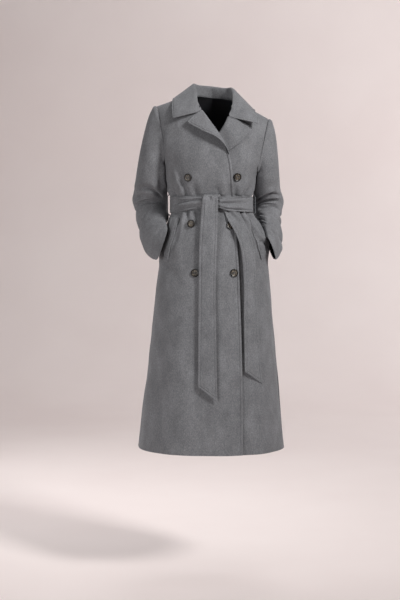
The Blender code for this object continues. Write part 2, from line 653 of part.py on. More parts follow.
def make_lapel(name, table, edge, ease, below, rows=9, columns=7):
    """A lapel turned out over its front, a little proud of it."""
    x, z, lift = lapel_grid(table, edge, ease, rows, columns, below)
    under = on_form(x, z, FRONT, lift)
    over = on_form(x, z, FRONT, lift + CLOTH)
    return make_wall(name, tilt(over), tilt(under))


def collar_sections(side_sign, table, along):
    """Face and lining points across the collar, from its seam over the roll to its outer edge."""
    faces, linings = [], []
    up = np.array([0, 0, 1.0])
    for share in along:
        side = BACK if share < 0.5 else FRONT
        lean = np.array([side_sign * table.at(share, "lean_x"), table.at(share, "lean_y"),
                         table.at(share, "stand")])
        edge = np.array([side_sign * table.at(share, "edge_x"), table.at(share, "edge_y"),
                         table.at(share, "edge_z")])
        low = 1 - min(1.0, np.linalg.norm(lean) / FULL_STAND)
        seam = on_form(side_sign * float(table.at(share, "seam_x")),
                       float(table.at(share, "seam_z")), side,
                       STAND_CLEARANCE + FRONT_END_LIFT * low)
        roll = seam + lean
        out = (edge - roll) * (1, 1, 0)
        out /= np.linalg.norm(out)
        reach = np.array([np.dot(edge - roll, out), edge[2] - roll[2]])
        last = math.atan2(reach[1], reach[0]) + math.pi / 2
        first = math.atan2(lean[2], np.dot(lean, out)) + math.pi / 2
        radius = ROLL_RADIUS - LOW_ROLL_LESS * low
        hub = roll - radius * (math.cos(first) * out + math.sin(first) * up)
        bend = np.linspace(first, last, 5)
        ways = np.cos(bend)[:, None] * out + np.sin(bend)[:, None] * up
        arc = hub + radius * ways
        leaf = arc[-1] + (edge - arc[-1]) * np.array([0.25, 0.5, 0.75, 1.0])[:, None]
        face = np.concatenate([[seam, (seam + arc[0]) / 2], arc, leaf])
        way = np.concatenate([[ways[0]] * 2, ways, [ways[-1]] * 4])
        face[-4:] = clear_of_yoke(face[-4:], CLOTH + COLLAR_CLEARANCE)
        faces.append(face)
        linings.append(face - CLOTH * way)
    return np.array(faces), np.array(linings)


def make_collar():
    """The collar: its stand on the neckline and its fall over the shoulders, in one strip."""
    along = np.array([0, 0.13, 0.25, 0.34, 0.42, 0.5, 0.6, 0.7, 0.8, 0.9, 1.0])
    right = collar_sections(RIGHT, COLLAR_RIGHT, along)
    left = collar_sections(LEFT, COLLAR_LEFT, along)
    face, lining = (np.concatenate([r[::-1], f[1:]]) for r, f in zip(right, left))
    return make_wall("collar", tilt(face), tilt(lining))


def waist_ring(z, lift, count):
    """Points round the waist at a height, moved out of the form by a lift at each angle."""
    turn = np.linspace(0, 2 * math.pi, count, endpoint=False)
    points = []
    for angle in turn:
        side = FRONT if math.cos(angle) >= 0 else BACK
        across = math.asin(math.sin(angle))
        point = form_point(across, z - ARMPIT, side)
        normal = form_normal(across, z - ARMPIT, side)
        points.append(point + normal * lift(point))
    return np.array(points)


def belt_lift(point):
    """How far the belt's inner face stands off the form: more where the knot passes behind it."""
    if point[1] > 0:
        return BELT_EASE
    room = (smooth((point[0] - KNOT_ROOM_RIGHT_X) / KNOT_ROOM_FADE)
            * smooth((KNOT_ROOM_LEFT_X - point[0]) / KNOT_ROOM_FADE))
    return BELT_EASE + KNOT_ROOM * float(room)


def make_belt_band(count=40):
    """The belt round the waist, a closed band behind its knot."""
    heights = WAIST + BELT_WIDTH * np.linspace(-0.5, 0.5, 4)
    inner = np.array([waist_ring(z, belt_lift, count) for z in heights])
    outer = np.array([waist_ring(z, lambda point: belt_lift(point) + BELT_CLOTH, count)
                      for z in heights])
    return make_wall("belt_band", outer, inner, ring=True)


def make_knot():
    """The wrap of the knot: a flat ring of cloth that goes round the belt, top to bottom."""
    belt_in = BELT_EASE + KNOT_ROOM
    belt_out = belt_in + BELT_CLOTH
    half = BELT_WIDTH / 2 + KNOT_MARGIN
    mid = (belt_in + belt_out) / 2
    deep = (belt_out - belt_in) / 2 + KNOT_MARGIN
    turn = np.linspace(0, 2 * math.pi, 16, endpoint=False)
    xs = np.linspace(KNOT_RIGHT_X, KNOT_LEFT_X, 7)
    layers = []
    for extra in (KNOT_CLOTH, 0.0):
        grid = []
        for x in xs:
            lift = mid + (deep + extra) * signed_power(np.cos(turn), KNOT_SQUARENESS)
            z = WAIST + (half + extra) * signed_power(np.sin(turn), KNOT_SQUARENESS)
            base = on_form(np.full(turn.shape, x), np.full(turn.shape, WAIST), FRONT, 0.0)
            normal = on_form(x, WAIST, FRONT, 1.0) - on_form(x, WAIST, FRONT, 0.0)
            points = base + lift[:, None] * normal
            points[:, 2] = z
            grid.append(points)
        layers.append(np.array(grid))
    return make_wall("belt_knot", layers[0], layers[1], ring=True)


def make_tail(name, table, rows=22, columns=4):
    """A hanging end of the belt, cut on a slant."""
    along = np.linspace(0, 1, rows)[:, None] ** TAIL_BUNCHING
    across = np.linspace(0, 1, columns)[None, :]
    x = table.at(along, "right_x") * (1 - across) + table.at(along, "left_x") * across
    z = table.at(along, "right_z") * (1 - across) + table.at(along, "left_z") * across
    lift = table.at(along, "lift") + table.at(along, "crown") * np.sin(across * math.pi)
    return make_wall(name, on_form(x, z, FRONT, lift + BELT_CLOTH), on_form(x, z, FRONT, lift))


def make_welt(name, table, rows=7, columns=4):
    """The welt of a slanted pocket, a flat strip on the front."""
    along = np.linspace(0, 1, rows)[:, None]
    across = np.linspace(0, 1, columns)[None, :]
    x = table.at(along, "outer_x") * (1 - across) + table.at(along, "inner_x") * across
    z = table.at(along, "outer_z") * (1 - across) + table.at(along, "inner_z") * across
    lift = fold_height(FRONT_FOLDS, x, z) + WELT_EASE
    return make_wall(name, on_form(x, z, FRONT, lift + WELT_CLOTH), on_form(x, z, FRONT, lift))


def make_loop(name, side_sign):
    """A thread loop at a side seam, standing over the belt from above it to below it."""
    span = BELT_WIDTH / 2 + LOOP_OVERHANG
    belt_out = BELT_EASE + BELT_CLOTH
    proud = belt_out + LOOP_STAND_OFF
    curve = bpy.data.curves.new(name, "CURVE")
    curve.dimensions = "3D"
    curve.bevel_depth = LOOP_RADIUS
    curve.bevel_resolution = 1
    curve.use_fill_caps = True
    steps = np.linspace(-1, 1, 11)
    points = []
    for step in steps:
        z = WAIST + span * step
        base = float(half_width(side_sign, z)) + LOOP_RADIUS + 2 * SEAM
        top = float(half_width(side_sign, WAIST)) + proud
        share = smooth((1 - abs(step)) / LOOP_BEND)
        points.append((side_sign * (base + (top - base) * float(share)), 0.0, z))
    spline = curve.splines.new("POLY")
    spline.points.add(len(points) - 1)
    for slot, point in zip(spline.points, tilt(np.array(points))):
        slot.co = (*point, 1.0)
    guide = bpy.data.objects.new(name, curve)
    bpy.context.scene.collection.objects.link(guide)
    thread = bmesh.new()
    thread.from_mesh(guide.to_mesh())
    bpy.data.objects.remove(guide)
    bmesh.ops.remove_doubles(thread, verts=thread.verts[:], dist=1e-6)
    bmesh.ops.recalc_face_normals(thread, faces=thread.faces[:])
    return make_object(name, thread, WOOL)


def button_profile():
    """Radius and height of the button's turned section, from its back round to its middle."""
    return ((0.0, 0.0), (BUTTON_RADIUS * 0.80, 0.0), (BUTTON_RADIUS, BUTTON_THICKNESS * 0.38),
            (BUTTON_RADIUS, BUTTON_THICKNESS * 0.68), (BUTTON_RADIUS * 0.90, BUTTON_THICKNESS),
            (BUTTON_RADIUS * 0.74, BUTTON_THICKNESS * 0.96),
            (BUTTON_RADIUS * 0.62, BUTTON_THICKNESS - BUTTON_SINK),
            (0.0, BUTTON_THICKNESS - BUTTON_SINK))


def make_button(name, x, z):
    """A dished round button with four holes, sewn flat on its front."""
    disc = bmesh.new()
    rings = []
    for radius, height in button_profile():
        if radius == 0.0:
            rings.append([disc.verts.new((0, 0, height))])
            continue
        rings.append([disc.verts.new((radius * math.cos(2 * math.pi * k / BUTTON_SIDES),
                                      radius * math.sin(2 * math.pi * k / BUTTON_SIDES), height))
                      for k in range(BUTTON_SIDES)])
    for low, high in zip(rings, rings[1:]):
        for k in range(BUTTON_SIDES):
            n = (k + 1) % BUTTON_SIDES
            corners = [low[k % len(low)], low[n % len(low)], high[n % len(high)], high[k % len(high)]]
            disc.faces.new(list(dict.fromkeys(corners)))
    bmesh.ops.recalc_face_normals(disc, faces=disc.faces[:])
    button = make_object(name, disc, HORN)

    holes = bmesh.new()
    for k in range(4):
        turn = math.pi / 4 + k * math.pi / 2
        drill = bmesh.ops.create_cone(holes, cap_ends=True, segments=8, radius1=BUTTON_HOLE_RADIUS,
                                      radius2=BUTTON_HOLE_RADIUS, depth=4 * BUTTON_THICKNESS)
        bmesh.ops.translate(holes, verts=drill["verts"],
                            vec=(BUTTON_HOLE_REACH * math.cos(turn), BUTTON_HOLE_REACH * math.sin(turn), 0))
    cutter = make_object(f"{name}_holes", holes, HORN)
    cutter.hide_render = True
    cutter.display_type = "WIRE"
    cutter.parent = button
    cut = button.modifiers.new("holes", "BOOLEAN")
    cut.operation = "DIFFERENCE"
    cut.object = cutter
    cut.solver = "EXACT"

    turns = np.arange(8) * math.pi / 4
    dx = np.append(BUTTON_RADIUS * np.cos(turns), 0.0)
    dz = np.append(BUTTON_RADIUS * np.sin(turns), 0.0)
    is_under = x > OVER_EDGE.at(z, "x")
    spots = tilt(on_form(x + dx, z + dz, FRONT, panel_lift(is_under, x + dx, z + dz)))
    across, up = spots[0] - spots[4], spots[2] - spots[6]
    across /= np.linalg.norm(across)
    facing = np.cross(across, up)
    facing /= np.linalg.norm(facing)
    up = np.cross(facing, across)
    highest = float(np.max((spots - spots[-1]) @ facing))
    place = spots[-1] + facing * (highest + BUTTON_EASE)
    turn = Matrix((across, up, facing)).transposed().to_4x4()
    button.matrix_world = Matrix.Translation(place) @ turn
    return button


def main():
    """Build every piece of the coat."""
    for leftover in list(bpy.data.objects):
        bpy.data.objects.remove(leftover, do_unlink=True)
    make_panel("right_front", front_panel(RIGHT))
    make_panel("left_front", front_panel(LEFT))
    make_panel("back", back_panel())
    make_sleeve("right_sleeve", RIGHT, RIGHT_SLEEVE, RIGHT_SLEEVE_FOLDS)
    make_sleeve("left_sleeve", LEFT, LEFT_SLEEVE, LEFT_SLEEVE_FOLDS)
    make_lapel("right_lapel", OVER_LAPEL, OVER_EDGE, OVER_LAPEL_EASE, lambda x, z: 0.0)
    make_lapel("left_lapel", UNDER_LAPEL, UNDER_EDGE, UNDER_LAPEL_EASE, under_lap)
    make_collar()
    make_welt("right_pocket_welt", RIGHT_WELT)
    make_welt("left_pocket_welt", LEFT_WELT)
    make_belt_band()
    make_knot()
    make_tail("belt_tail_right", RIGHT_TAIL)
    make_tail("belt_tail_left", LEFT_TAIL)
    make_loop("belt_loop_right", RIGHT)
    make_loop("belt_loop_left", LEFT)
    for name, (x, z) in BUTTONS.items():
        make_button(name, x, z)


main()
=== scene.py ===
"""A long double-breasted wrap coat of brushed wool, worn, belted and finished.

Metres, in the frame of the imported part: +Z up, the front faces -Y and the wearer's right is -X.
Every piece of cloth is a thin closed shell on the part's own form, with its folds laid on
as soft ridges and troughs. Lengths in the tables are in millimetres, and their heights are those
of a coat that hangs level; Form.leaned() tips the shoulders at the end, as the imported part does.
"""

import logging
import math
from collections.abc import Callable, Sequence
from dataclasses import dataclass, field
from enum import Enum

import bmesh
import bpy
import numpy as np
from mathutils import Matrix, Vector


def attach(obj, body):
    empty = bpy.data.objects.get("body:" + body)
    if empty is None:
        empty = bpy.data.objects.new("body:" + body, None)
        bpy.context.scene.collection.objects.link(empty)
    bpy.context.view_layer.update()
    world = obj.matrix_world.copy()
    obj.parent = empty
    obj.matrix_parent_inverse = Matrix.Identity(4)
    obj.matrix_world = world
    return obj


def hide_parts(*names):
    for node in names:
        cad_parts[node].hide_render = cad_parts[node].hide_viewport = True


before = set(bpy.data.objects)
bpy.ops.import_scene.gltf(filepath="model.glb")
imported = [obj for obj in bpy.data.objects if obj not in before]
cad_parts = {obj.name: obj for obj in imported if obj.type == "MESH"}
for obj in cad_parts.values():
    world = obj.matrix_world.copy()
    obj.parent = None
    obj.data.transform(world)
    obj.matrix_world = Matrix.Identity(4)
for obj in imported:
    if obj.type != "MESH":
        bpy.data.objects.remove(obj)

log = logging.getLogger("wrap coat")

ROOT = "root"
MM = 0.001
MM_PER_METRE = 1000
CLOTH = 0.003                # wall of the coating
SEAM = 0.0003                # gap between sewn pieces
HEM = -1.177
ARMPIT = -0.245
WAIST = -0.362
BELT_WIDTH = 0.054
BELT_CLOTH = 0.0035
BELT_EASE = 0.0017
INNER_SHARE = 0.6            # share of a fold that shows on the cloth's inner side
SHOULDER_PRESS = 0.0012      # how much less the shoulder seams sink in than the others


class Side(Enum):
    """The wearer's two sides, as the sign of x."""

    RIGHT = -1
    LEFT = 1


class Face(Enum):
    """Front or back of the body's form, as the sign of y."""

    FRONT = -1
    BACK = 1


def smooth(t: np.ndarray | float) -> np.ndarray:
    """An S-curve from 0 to 1."""
    t = np.clip(t, 0.0, 1.0)
    return t * t * (3 - 2 * t)


def signed_power(value: np.ndarray, exponent: float) -> np.ndarray:
    """A power that keeps the value's sign."""
    return np.sign(value) * np.abs(value) ** exponent


def unit(vectors: np.ndarray) -> np.ndarray:
    """Vectors scaled to length 1."""
    return vectors / np.maximum(np.linalg.norm(vectors, axis=-1, keepdims=True), 1e-12)


def run_along(line: np.ndarray) -> np.ndarray:
    """Distance of each point of a line from its first, along the line."""
    steps = np.linalg.norm(np.diff(line, axis=0), axis=1)
    return np.concatenate([[0], np.cumsum(steps)])


class Table:
    """Rows of named columns, read between rows along a smooth curve of the first column."""

    def __init__(self, columns: str, rows: str, key: float = MM_PER_METRE) -> None:
        """Read the table.

        Args:
            columns: the names of the columns.
            rows: the rows in millimetres, with a comma after each but the last.
            key: what the first column's numbers are divided by.
        """
        self.names = columns.split()
        self.rows = np.array([row.split() for row in rows.split(",")], float)
        self.rows /= [key] + [MM_PER_METRE] * (len(self.names) - 1)
        self.slopes = np.gradient(self.rows, self.rows[:, 0], axis=0)

    def at(self, key: np.ndarray | float, name: str) -> np.ndarray:
        """Read one column.

        Args:
            key: where to read, a number or an array of numbers of the first column.
            name: the column's name.

        Returns:
            The column's values there.
        """
        column = self.names.index(name)
        keys = self.rows[:, 0]
        key = np.clip(key, keys[0], keys[-1])
        low = np.clip(np.searchsorted(keys, key, side="right") - 1, 0, len(keys) - 2)
        span = keys[low + 1] - keys[low]
        t = (key - keys[low]) / span
        start, end = self.rows[low, column], self.rows[low + 1, column]
        leave, arrive = self.slopes[low, column] * span, self.slopes[low + 1, column] * span
        return (start * (2 * t**3 - 3 * t**2 + 1) + leave * (t**3 - 2 * t**2 + t)
                + end * (3 * t**2 - 2 * t**3) + arrive * (t**3 - t**2))


def smooth_line(points: Sequence[Sequence[float]], steps: int = 8) -> np.ndarray:
    """A Catmull-Rom line through places.

    Args:
        points: the places it passes through.
        steps: how many points it has between two of them.

    Returns:
        The line's points, one a row.
    """
    given = np.array(points, float)
    if len(given) == 2:
        return given[0] + (given[1] - given[0]) * np.linspace(0, 1, steps + 1)[:, None]
    ends = np.vstack([2 * given[0] - given[1], given, 2 * given[-1] - given[-2]])
    line = []
    for k in range(1, len(ends) - 2):
        a, b, c, d = ends[k - 1:k + 3]
        t = np.linspace(0, 1, steps, endpoint=False)[:, None]
        line.append(0.5 * (2 * b + (c - a) * t + (2 * a - 5 * b + 4 * c - d) * t**2
                           + (3 * b - a - 3 * c + d) * t**3))
    return np.vstack([*line, given[-1:]])


@dataclass(frozen=True)
class Fold:
    """A soft ridge or trough along a line of places of a piece.

    Attributes:
        line: places (across, along) that it passes through, in the piece's own measure.
        width: its half width, in metres.
        height: how far it stands out, in metres; a trough is below 0.
        rise: share of its length over which it comes up.
        fade: share of its length over which it dies away.
        lean: makes the flank on its left wider (above 0) or narrower (below 0).
        tuck: height of a step down on its right, as where cloth is laid over cloth.
    """

    line: tuple[tuple[float, float], ...]
    width: float
    height: float
    rise: float = 0.15
    fade: float = 0.5
    lean: float = 0.0
    tuck: float = 0.0
    flank: float = 0.3
    tuck_reach: float = 2.2
    tuck_step: float = 0.18
    tuck_rest: float = 0.3

    @classmethod
    def read(cls, row: str) -> "Fold":
        """Read a fold from text: its places, a bar, then width, height, rise, fade, lean, tuck.

        Args:
            row: the text, in millimetres; what is left out at its end keeps its usual value.

        Returns:
            The fold.
        """
        places, sizes = ([float(word) for word in part.split()] for part in row.split("|"))
        line = np.reshape(places, (-1, 2)) / MM_PER_METRE
        if len(sizes) == 6:
            sizes[5] /= MM_PER_METRE
        return cls(tuple(map(tuple, line)), sizes[0] / MM_PER_METRE, sizes[1] / MM_PER_METRE,
                   *sizes[2:])

    def lift(self, across: np.ndarray, along: np.ndarray) -> np.ndarray:
        """Height of this fold at places.

        Args:
            across: the places' first coordinate.
            along: their second one.

        Returns:
            The heights there, in metres.
        """
        points = smooth_line(self.line)
        run = run_along(points)
        best = np.full(np.shape(across), 1e9)
        reached = np.zeros(np.shape(across))
        left = np.zeros(np.shape(across))
        for k, (a, b) in enumerate(zip(points, points[1:])):
            step = b - a
            length = max(float(np.hypot(*step)), 1e-9)
            share = ((across - a[0]) * step[0] + (along - a[1]) * step[1]) / length**2
            inside = np.clip(share, 0, 1)
            gap = np.hypot(across - a[0] - inside * step[0], along - a[1] - inside * step[1])
            side = (step[0] * (along - a[1]) - step[1] * (across - a[0])) / length
            near = gap < best
            best = np.where(near, gap, best)
            reached = np.where(near, (run[k] + share * length) / run[-1], reached)
            left = np.where(near, side, left)
        wide = self.width * (1 + self.lean * np.tanh(left / (self.flank * self.width)))
        shape = self.height * np.exp(-(best / wide) ** 2)
        step_down = np.tanh(left / (self.tuck_step * self.width)) + self.tuck_rest
        shape += self.tuck / 2 * np.exp(-best / (self.tuck_reach * self.width)) * step_down
        return shape * smooth(reached / self.rise) * smooth((1 - reached) / self.fade)


def folds(*rows: str) -> tuple[Fold, ...]:
    """Folds read from rows of text."""
    return tuple(Fold.read(row) for row in rows)


def fold_lift(folds: Sequence[Fold], across: np.ndarray, along: np.ndarray) -> np.ndarray:
    """Height of several folds together.

    Args:
        folds: the folds.
        across: the places' first coordinate.
        along: their second one.

    Returns:
        The heights there, in metres.
    """
    total = np.zeros(np.broadcast(across, along).shape)
    for fold in folds:
        total += fold.lift(across, along)
    return total


def ripple(x: np.ndarray, z: np.ndarray, size: float, seed: float) -> np.ndarray:
    """A slow uneven wave between about -1 and 1, as in cloth that hangs freely.

    Args:
        x: places across, in metres.
        z: places along, in metres.
        size: the waves' usual length, in metres.
        seed: moves the pattern, so that pieces differ.

    Returns:
        The wave's height at the places.
    """
    total = np.zeros(np.broadcast(x, z).shape)
    for k in range(7):
        turn = 2.4 * k + seed
        pitch = 2 * math.pi / (size * (0.7 + 0.19 * k))
        total += np.sin(pitch * (x * math.cos(turn) + z * math.sin(turn)) + 1.7 * k * k + seed)
    return total / 3.5


@dataclass(frozen=True)
class Form:
    """The body's form: sections below the armpits that close to the shoulder seams above them."""

    shoulder_top: float = 0.028
    shoulder_slope: float = 0.45
    roundness: float = 2.2
    crown: float = 2.2
    lean: float = 0.11
    lean_start: float = -0.36
    lean_full: float = -0.20
    pull: float = 0.75
    pull_fade: float = 0.012
    pull_margin: float = 0.001
    sections: Table = field(default_factory=lambda: Table("z right left front back", """
        -1180 250 245 190 186,
        -1050 236 234 178 177,
        -900 216.5 221 165 166,
        -700 194.5 201 150 154,
        -550 175.5 187 138 146,
        -480 164 178 130 137,
        -430 153 158 120 123,
        -400 143.5 140 112 112,
        -362 136.5 132 105 102,
        -325 144 138 111 107,
        -290 153 145 120 114,
        -245 158 150 127 122,
        -220 166 161 128 124,
        -180 178 176 127 125,
        -120 192 192 125 125,
        -50 202 204 122 121,
        30 206 208 120 118"""))

    def shoulder_line(self, x: np.ndarray) -> np.ndarray:
        """Height of the shoulder seam over a place across the body."""
        return self.shoulder_top - self.shoulder_slope * np.abs(x)

    def girt(self, z: np.ndarray) -> np.ndarray:
        """The height whose section holds at a height, with the form pressed flat by the belt.

        Args:
            z: heights, in metres.

        Returns:
            The heights whose sections hold there.
        """
        off = z - WAIST
        half = BELT_WIDTH / 2 + self.pull_margin
        past = np.maximum(np.abs(off) - half, 0)
        pressed = np.minimum(np.abs(off), half) * self.pull * np.exp(-past / self.pull_fade)
        return z - np.sign(off) * pressed

    def half_width(self, x: np.ndarray, z: np.ndarray) -> np.ndarray:
        """Half width of the section at a height, on the side that x is on.

        Args:
            x: places across, whose sign says the side.
            z: heights, in metres.

        Returns:
            The half widths, in metres.
        """
        z = self.girt(z)
        right, left = self.sections.at(z, "right"), self.sections.at(z, "left")
        return np.where(np.asarray(x) < 0, right, left)

    def depth(self, face: Face, z: np.ndarray) -> np.ndarray:
        """Depth of the section at a height, to the front or to the back."""
        return self.sections.at(self.girt(z), face.name.lower())

    def depth_at(self, y: np.ndarray, z: np.ndarray) -> np.ndarray:
        """Depth of the section at a height, on the side that y is on."""
        return np.where(y < 0, self.depth(Face.FRONT, z), self.depth(Face.BACK, z))

    def side_reach(self, points: np.ndarray, clearance: np.ndarray | float = 0.0) -> np.ndarray:
        """How far the form's side is from the middle plane, at the depths and heights of points.

        Args:
            points: the points, with x, y and z on the last axis.
            clearance: air round the form.

        Returns:
            The distances.
        """
        x, y, z = points[..., 0], points[..., 1], points[..., 2]
        share = 1 - np.clip(np.abs(y) / (self.depth_at(y, z) + clearance), 0, 1) ** self.roundness
        return (self.half_width(x, z) + clearance) * share ** (1 / self.roundness)

    def station_height(self, x: np.ndarray, station: np.ndarray) -> np.ndarray:
        """Height of a station: metres under the armpit below 0, radians up to the seam above.

        Args:
            x: places across, in metres.
            station: the stations.

        Returns:
            Their heights, in metres.
        """
        rise = np.abs(np.sin(np.clip(station, 0, None))) ** (2 / self.crown)
        over = ARMPIT + rise * (self.shoulder_line(x) - ARMPIT)
        return np.where(np.asarray(station) > 0, over, ARMPIT + station)

    def height_station(self, x: np.ndarray, z: np.ndarray) -> np.ndarray:
        """The station of a height, the inverse of station_height."""
        rise = np.clip((z - ARMPIT) / (self.shoulder_line(x) - ARMPIT), 0, 1)
        return np.where(z > ARMPIT, np.arcsin(rise ** (self.crown / 2)), z - ARMPIT)

    def point(self, angle: np.ndarray, station: np.ndarray, face: Face) -> np.ndarray:
        """Points of the form.

        Args:
            angle: angles across it from its middle, in radians.
            station: stations up it.
            face: front or back.

        Returns:
            The points, with x, y and z on the last axis.
        """
        angle, station = np.broadcast_arrays(np.asarray(angle, float), np.asarray(station, float))
        x = np.zeros(angle.shape)
        for _ in range(5):
            z = self.station_height(x, station)
            x = self.half_width(np.sin(angle), z) * signed_power(np.sin(angle), 2 / self.roundness)
        crown = signed_power(np.cos(np.clip(station, 0, None)), 2 / self.crown)
        round_off = signed_power(np.cos(angle), 2 / self.roundness)
        y = face.value * self.depth(face, z) * round_off * crown
        return np.stack([x, y, z], -1)

    def angle(self, x: np.ndarray, z: np.ndarray) -> np.ndarray:
        """The angle across the form of a place x at a height."""
        share = np.clip(np.abs(x) / self.half_width(x, z), 0, 1)
        return np.sign(x) * np.arcsin(share ** (self.roundness / 2))

    def normal(self, angle: np.ndarray, station: np.ndarray, face: Face) -> np.ndarray:
        """The outward normals of the form at angles and stations.

        Args:
            angle: angles round the sections.
            station: the stations.
            face: front or back.

        Returns:
            Vectors of length 1.
        """
        step = 1e-4
        point = self.point
        across = point(angle + step, station, face) - point(angle - step, station, face)
        up = point(angle, station + step, face) - point(angle, station - step, face)
        return unit(-face.value * np.cross(across, up))

    def on(self, x: np.ndarray, z: np.ndarray, face: Face, lift: np.ndarray) -> np.ndarray:
        """Points over places (x, z) of the form, moved out by a lift.

        Args:
            x: places across, in metres.
            z: heights, in metres.
            face: front or back.
            lift: distances off the form, in metres.

        Returns:
            The points.
        """
        x, z, lift = np.broadcast_arrays(*(np.asarray(v, float) for v in (x, z, lift)))
        place = self.angle(x, z), self.height_station(x, z), face
        return self.point(*place) + self.normal(*place) * lift[..., None]

    def out(self, x: np.ndarray, z: np.ndarray, face: Face) -> np.ndarray:
        """The outward normals over places (x, z) of the form."""
        x, z = np.broadcast_arrays(np.asarray(x, float), np.asarray(z, float))
        return self.normal(self.angle(x, z), self.height_station(x, z), face)

    def leaned(self, points: np.ndarray) -> np.ndarray:
        """The points with the shoulders tipped: a smooth shear that fades out at the waist.

        Args:
            points: points of a coat that hangs level.

        Returns:
            The points, tipped.
        """
        moved = np.array(points, float)
        share = smooth((moved[..., 2] - self.lean_start) / (self.lean_full - self.lean_start))
        moved[..., 2] -= self.lean * moved[..., 0] * share
        return moved


FORM = Form()


@dataclass(frozen=True)
class Pattern:
    """The cut edges of the coat's pieces on the form, shared by the pieces that meet there."""

    armhole: Table = field(default_factory=lambda: Table("z right left", """
        -245 158 150, -225 156.5 150, -200 156 156, -147 164.5 168, -100 173.5 178, -55 184 188"""))
    over_edge: Table = field(default_factory=lambda: Table("z x", """
        -1180 100, -930 98, -700 92, -500 83, -361 74, -300 69, -250 65, -213 60, -194 55,
        -172 47, -127 21, -90 -8, -56 -35, -28 -56, -6 -75"""))
    under_edge: Table = field(default_factory=lambda: Table("z x", """
        -1180 -95, -800 -87, -500 -76, -361 -70, -260 -64, -222 -56, -190 -34, -160 -8, -127 21,
        -95 41, -67 53, -30 67, -6 75"""))
    over_break: float = -0.196
    under_break: float = -0.223
    lap_step: float = 0.0042
    lapel_step: float = 0.0094
    lapel_step_foot: float = -0.32
    lapel_step_rise: float = 0.08
    lap_reach: float = 0.045
    lap_fade: float = 0.040

    def edge_place(self, edge: Table, station: np.ndarray, column: str = "x",
                   flip: int = 1) -> tuple[np.ndarray, np.ndarray]:
        """Where an edge that is given by height meets stations.

        Args:
            edge: the edge's table.
            station: the stations.
            column: the column of the table that holds the edge's x.
            flip: sign of the side that the edge is on, where the column has no sign.

        Returns:
            The places' x and z.
        """
        x = np.zeros(np.shape(station))
        for _ in range(12):
            z = FORM.station_height(x, station)
            x = flip * edge.at(z, column)
        return x, z

    def inner_edge(self, side: Side) -> Table:
        """The table of a front's inner edge, which is its roll line where it turns out."""
        return self.over_edge if side is Side.RIGHT else self.under_edge

    def outer_angle(self, side: Side, station: np.ndarray) -> np.ndarray:
        """Angle at the outer end of rows: the side seam, or the armhole above it."""
        x, z = self.edge_place(self.armhole, station, side.name.lower(), side.value)
        return np.where(station <= 0, side.value * math.pi / 2, FORM.angle(x, z))

    def under_lap(self, side: Side, x: np.ndarray, z: np.ndarray) -> np.ndarray:
        """How deep a front lies below the form: only the left one, under the right one's edge.

        Args:
            side: which front.
            x: places across, in metres.
            z: heights, in metres.

        Returns:
            The depths, in metres.
        """
        if side is Side.RIGHT:
            return np.zeros(np.shape(x))
        deeper = smooth((z - self.lapel_step_foot) / self.lapel_step_rise)
        step = self.lap_step + (self.lapel_step - self.lap_step) * deeper
        return step * smooth((self.over_edge.at(z, "x") + self.lap_reach - x) / self.lap_fade)


PATTERN = Pattern()


def reach_from(grid: np.ndarray, axis: int, end: int) -> np.ndarray:
    """Distance of a grid's points from its first or last row or column, along the grid.

    Args:
        grid: rows x columns of points.
        axis: 0 to measure from a row, 1 from a column.
        end: 0 for the first one, -1 for the last.

    Returns:
        The distances, rows x columns.
    """
    steps = np.linalg.norm(np.diff(grid, axis=axis), axis=-1)
    zero = np.zeros_like(np.take(steps, [0], axis=axis))
    if end == 0:
        return np.concatenate([zero, np.cumsum(steps, axis=axis)], axis=axis)
    back = np.flip(np.cumsum(np.flip(steps, axis), axis=axis), axis)
    return np.concatenate([back, zero], axis=axis)


def round_corner(grid: np.ndarray, row_gap: np.ndarray, column_gap: np.ndarray, radius: float,
                 row_end: int, column_end: int) -> tuple[np.ndarray, np.ndarray]:
    """Round one corner of a grid by sliding its points over the surface.

    Args:
        grid: rows x columns of points.
        row_gap: their distances from the row edge at the corner.
        column_gap: their distances from the column edge there.
        radius: the corner's radius.
        row_end: 0 where that edge is the first row, -1 where it is the last.
        column_end: the same for the column edge.

    Returns:
        The moved points, and their distances from the rounded boundary.
    """
    down = unit(np.gradient(grid, axis=0)) * (1 if row_end == 0 else -1)
    over = unit(np.gradient(grid, axis=1)) * (1 if column_end == 0 else -1)
    p = np.clip((radius - row_gap) / radius, 0, 1)
    q = np.clip((radius - column_gap) / radius, 0, 1)
    near_p, near_q = p * np.sqrt(1 - q**2 / 2), q * np.sqrt(1 - p**2 / 2)
    moved = grid + down * ((p - near_p) * radius)[..., None]
    moved = moved + over * ((q - near_q) * radius)[..., None]
    rim = radius * (1 - np.hypot(near_p, near_q))
    inside = (p > 0) & (q > 0)
    return moved, np.where(inside, rim, np.minimum(row_gap, column_gap))


def closed_edge(face: np.ndarray, back: np.ndarray,
                gap: np.ndarray) -> tuple[np.ndarray, np.ndarray]:
    """Bring two layers together in a half-round where the cloth ends.

    Args:
        face: points of the outer layer.
        back: points of the inner one.
        gap: their distances from the cloth's free edge.

    Returns:
        The two layers, meeting at the edge.
    """
    half = np.linalg.norm(face - back, axis=-1) / 2
    share = np.sqrt(1 - (1 - np.clip(gap / np.maximum(half, 1e-9), 0, 1)) ** 2)[..., None]
    middle = (face + back) / 2
    return middle + (face - middle) * share, middle + (back - middle) * share


def sunk_seam(face: np.ndarray, back: np.ndarray, gap: np.ndarray, depth: float = 0.3,
              reach: float = 0.0035) -> np.ndarray:
    """Draw the outer layer in along a seam, by a share of the cloth's thickness."""
    drop = depth * (1 - smooth(gap / reach))
    return face + (back - face) * drop[..., None]


def doubled(gap: np.ndarray) -> np.ndarray:
    """1 at an edge, where the cloth is turned in and lies double, and 0 well inside it."""
    return smooth(1 - (gap - 0.002) / 0.012)


